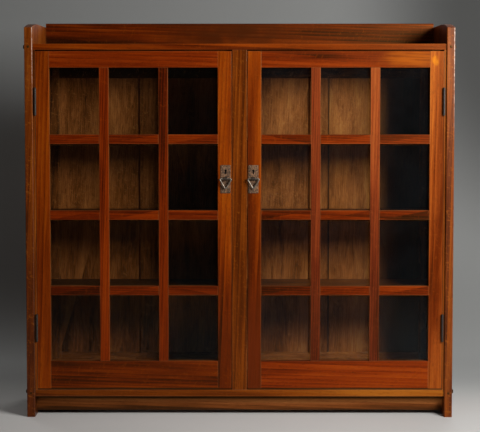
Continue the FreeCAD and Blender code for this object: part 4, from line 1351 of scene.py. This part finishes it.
@dataclass
class Studio:
    """Pale sweep, soft lights and the camera, in metres unless said otherwise.

    Attributes:
        sweep_start: where the floor starts to rise.
        sweep_radius: radius of the rise.
        sweep_steps: faces of the rise.
        wall_top: height of the wall.
        half_width: half of the sweep's width.
        near: front edge of the floor.
        floor: paint of the floor.
        wall: paint of the wall.
        smudge: colour of the paint's faint clouds.
        painted_corner_shadow: colour of the painted shadow on the wall's upper right corner.
        paint_change: how far back the floor's paint turns into the wall's.
        painted_floor_shade: where the floor's painted shade starts to the right, where it is darkest, and how
            strong it is.
        cloud_mm: size of the clouds in mm.
        corner: middle of the painted shadow.
        corner_half: half of its size.
        surround: colour of the dim room.
        surround_power: strength of the dim room.
        eye: place of the camera.
        yaw: turn of the camera to the right in degrees.
        pitch: tilt of the camera in degrees.
        focal_px: focal length in pixels.
        middle_y_px: height of the optical middle in the picture in pixels.
        frame_px: size of the picture in pixels.
        sensor_mm: width of the camera's sensor in mm.
    """

    sweep_start: float = 0.75
    sweep_radius: float = 0.75
    sweep_steps: int = 16
    wall_top: float = 5.0
    half_width: float = 7.0
    near: float = -9.0
    floor: str = "#CBC8C4"
    wall: str = "#90918F"
    smudge: str = "#6F6E6A"
    painted_corner_shadow: str = "#3E3E3C"
    paint_change: tuple[float, float] = (-0.1, 0.5)
    painted_floor_shade: tuple[float, float, float] = (-0.3, 1.3, 0.55)
    cloud_mm: float = 455.0
    corner: tuple[float, float, float] = (1.55, 1.5, 1.6)
    corner_half: tuple[float, float, float] = (1.15, 1.15, 1.4)
    surround: str = "#C9CBCC"
    surround_power: float = 0.014
    eye: tuple[float, float, float] = (0.0086, -4.450, 1.1372)
    yaw: float = -0.091
    pitch: float = -2.855
    focal_px: float = 1208.6
    middle_y_px: float = 160.0
    frame_px: tuple[int, int] = (480, 432)
    sensor_mm: float = 36.0

    # A strong key from the right front, weak lamps from above and from the left, and two behind the sweep,
    # which is clear from behind, for the back and the left side.
    LAMPS = (
        Softbox("key", (1.77, -1.75, 1.66), (0.1, 0.0, 0.75), (1.2, 0.7), 97.0),
        Softbox("top", (-0.6, -1.7, 3.3), (0.0, -0.1, 0.8), (1.6, 1.0), 7.0),
        Softbox("fill", (-3.6, -2.4, 2.0), (0.0, 0.0, 0.7), (2.0, 2.0), 2.0),
        Softbox("rear", (1.6, 3.6, 2.3), (0.0, 0.2, 0.7), (2.0, 2.0), 35.0),
        Softbox("side", (-2.8, 2.5, 1.2), (-0.7, 0.0, 0.8), (1.4, 1.4), 18.0),
    )

    def _paint(self) -> Material:
        """Makes the sweep's matt painted canvas, pale on the floor and greyer up the wall, with painted shade
        on the floor's right and the wall's upper right corner, clear from behind.

        Returns:
            The material.
        """
        made = blank("painted_canvas_sweep")
        tree = made.node_tree
        place = add(tree, "ShaderNodeTexCoord").outputs["Object"]
        spot = add(tree, "ShaderNodeSeparateXYZ", {0: place}).outputs
        cloud = add(tree, "ShaderNodeTexNoise", {
            "Vector": place, "Scale": 1 / mm(self.cloud_mm), "Detail": 4.0}).outputs[0]
        # Painted shadow, darker towards the wall's upper right corner.
        corner = add(tree, "ShaderNodeMapping", {
            "Vector": place, "Location": self.corner, "Scale": self.corner_half}, vector_type="TEXTURE")
        ball = add(tree, "ShaderNodeTexGradient", {"Vector": corner.outputs[0]},
                   gradient_type="SPHERICAL").outputs["Fac"]
        tint = linear(self.floor)
        for pattern, start, full, most, code, ease in (
            # Painted shade: the floor greys towards the right.
            (spot["X"], *self.painted_floor_shade, self.wall, "SMOOTHSTEP"),
            (spot["Y"], *self.paint_change, 1.0, self.wall, "SMOOTHSTEP"),
            (cloud, 0.3, 0.7, 0.06, self.smudge, "LINEAR"),
            (ball, 0.0, 0.6, 0.9, self.painted_corner_shadow, "SMOOTHSTEP"),
        ):
            cover = add(tree, "ShaderNodeMapRange", {0: pattern, 1: start, 2: full, 4: most},
                        interpolation_type=ease).outputs[0]
            tint = add(tree, "ShaderNodeMix", {"Factor": cover, 6: tint, 7: linear(code)},
                       data_type="RGBA").outputs[2]
        front = add(tree, "ShaderNodeBsdfPrincipled", {"Base Color": tint, "Roughness": 0.75}).outputs[0]
        clear = add(tree, "ShaderNodeBsdfTransparent").outputs[0]
        behind = add(tree, "ShaderNodeNewGeometry").outputs["Backfacing"]
        canvas = add(tree, "ShaderNodeMixShader", {0: behind, 1: front, 2: clear}).outputs[0]
        add(tree, "ShaderNodeOutputMaterial", {"Surface": canvas})
        return made

    def build(self) -> None:
        """Makes the sweep and the floor behind it."""
        profile = [(self.near, 0.0), (self.sweep_start, 0.0)]
        for i in range(1, self.sweep_steps + 1):
            a = math.pi / 2 * i / self.sweep_steps
            rise = self.sweep_radius * (1 - math.cos(a))
            profile.append((self.sweep_start + self.sweep_radius * math.sin(a), rise))
        profile.append((self.sweep_start + self.sweep_radius, self.wall_top))
        rear = [(self.sweep_start, mm(-2)), (-self.near, mm(-2))]
        paint = self._paint()
        for name, points in (("studio_sweep", profile), ("studio_floor_behind", rear)):
            mesh = bmesh.new()
            left, right = ([mesh.verts.new((x, y, z)) for y, z in points]
                           for x in (-self.half_width, self.half_width))
            for i in range(len(points) - 1):
                mesh.faces.new((left[i], right[i], right[i + 1], left[i + 1])).smooth = True
            data = bpy.data.meshes.new(name)
            mesh.to_mesh(data)
            mesh.free()
            data.materials.append(paint)
            made = bpy.data.objects.new(name, data)
            made.visible_shadow = False
            bpy.context.scene.collection.objects.link(made)
            log.info("%s", name)

    def light(self) -> None:
        """Hangs the lamps and sets a dim surround."""
        for lamp in self.LAMPS:
            lamp.hang()
        world = bpy.data.worlds.new("dim_surround")
        world.use_nodes = True
        world.node_tree.nodes.clear()
        glow = add(world.node_tree, "ShaderNodeBackground", {
            "Color": linear(self.surround), "Strength": self.surround_power})
        add(world.node_tree, "ShaderNodeOutputWorld", {"Surface": glow.outputs[0]})
        bpy.context.scene.world = world
        bpy.context.scene.view_settings.view_transform = "Standard"

    def film(self) -> None:
        """Sets the camera where the photograph was taken from."""
        data = bpy.data.cameras.new("front_camera")
        wide, high = self.frame_px
        data.sensor_width = self.sensor_mm
        data.lens = self.focal_px * data.sensor_width / wide
        data.shift_y = (self.middle_y_px - high / 2) / wide
        camera = bpy.data.objects.new("front_camera", data)
        camera.location = self.eye
        camera.rotation_euler = (math.radians(90 + self.pitch), 0.0, math.radians(-self.yaw))
        bpy.context.scene.collection.objects.link(camera)
        bpy.context.scene.camera = camera


def main() -> None:
    """Builds and dresses every sub-assembly."""
    logging.basicConfig(level=logging.INFO, format="%(name)s %(message)s")
    iron, copper, steel, handled, dark, shade_black = (
        metal.material() for metal in (IRON, COPPER, STEEL, BAIL_COPPER, SHADED_EYE_COPPER, KEYHOLE_SHADE))
    Case().dress()
    Joinery().build()
    Back().dress()
    dress("hinge_frame_leaves", iron)
    dress("hinge_pins", iron)
    for hand in Hand:
        Door(hand).dress()
        hinges = Hinges(hand)
        hinges.dress(iron)
        hinges.build(iron)
        pull = Pull(hand)
        pull.dress(dark, handled, steel)
        pull.build(copper, steel, shade_black)
    studio = Studio()
    studio.build()
    studio.light()
    studio.film()


if __name__ == "__main__":
    main()
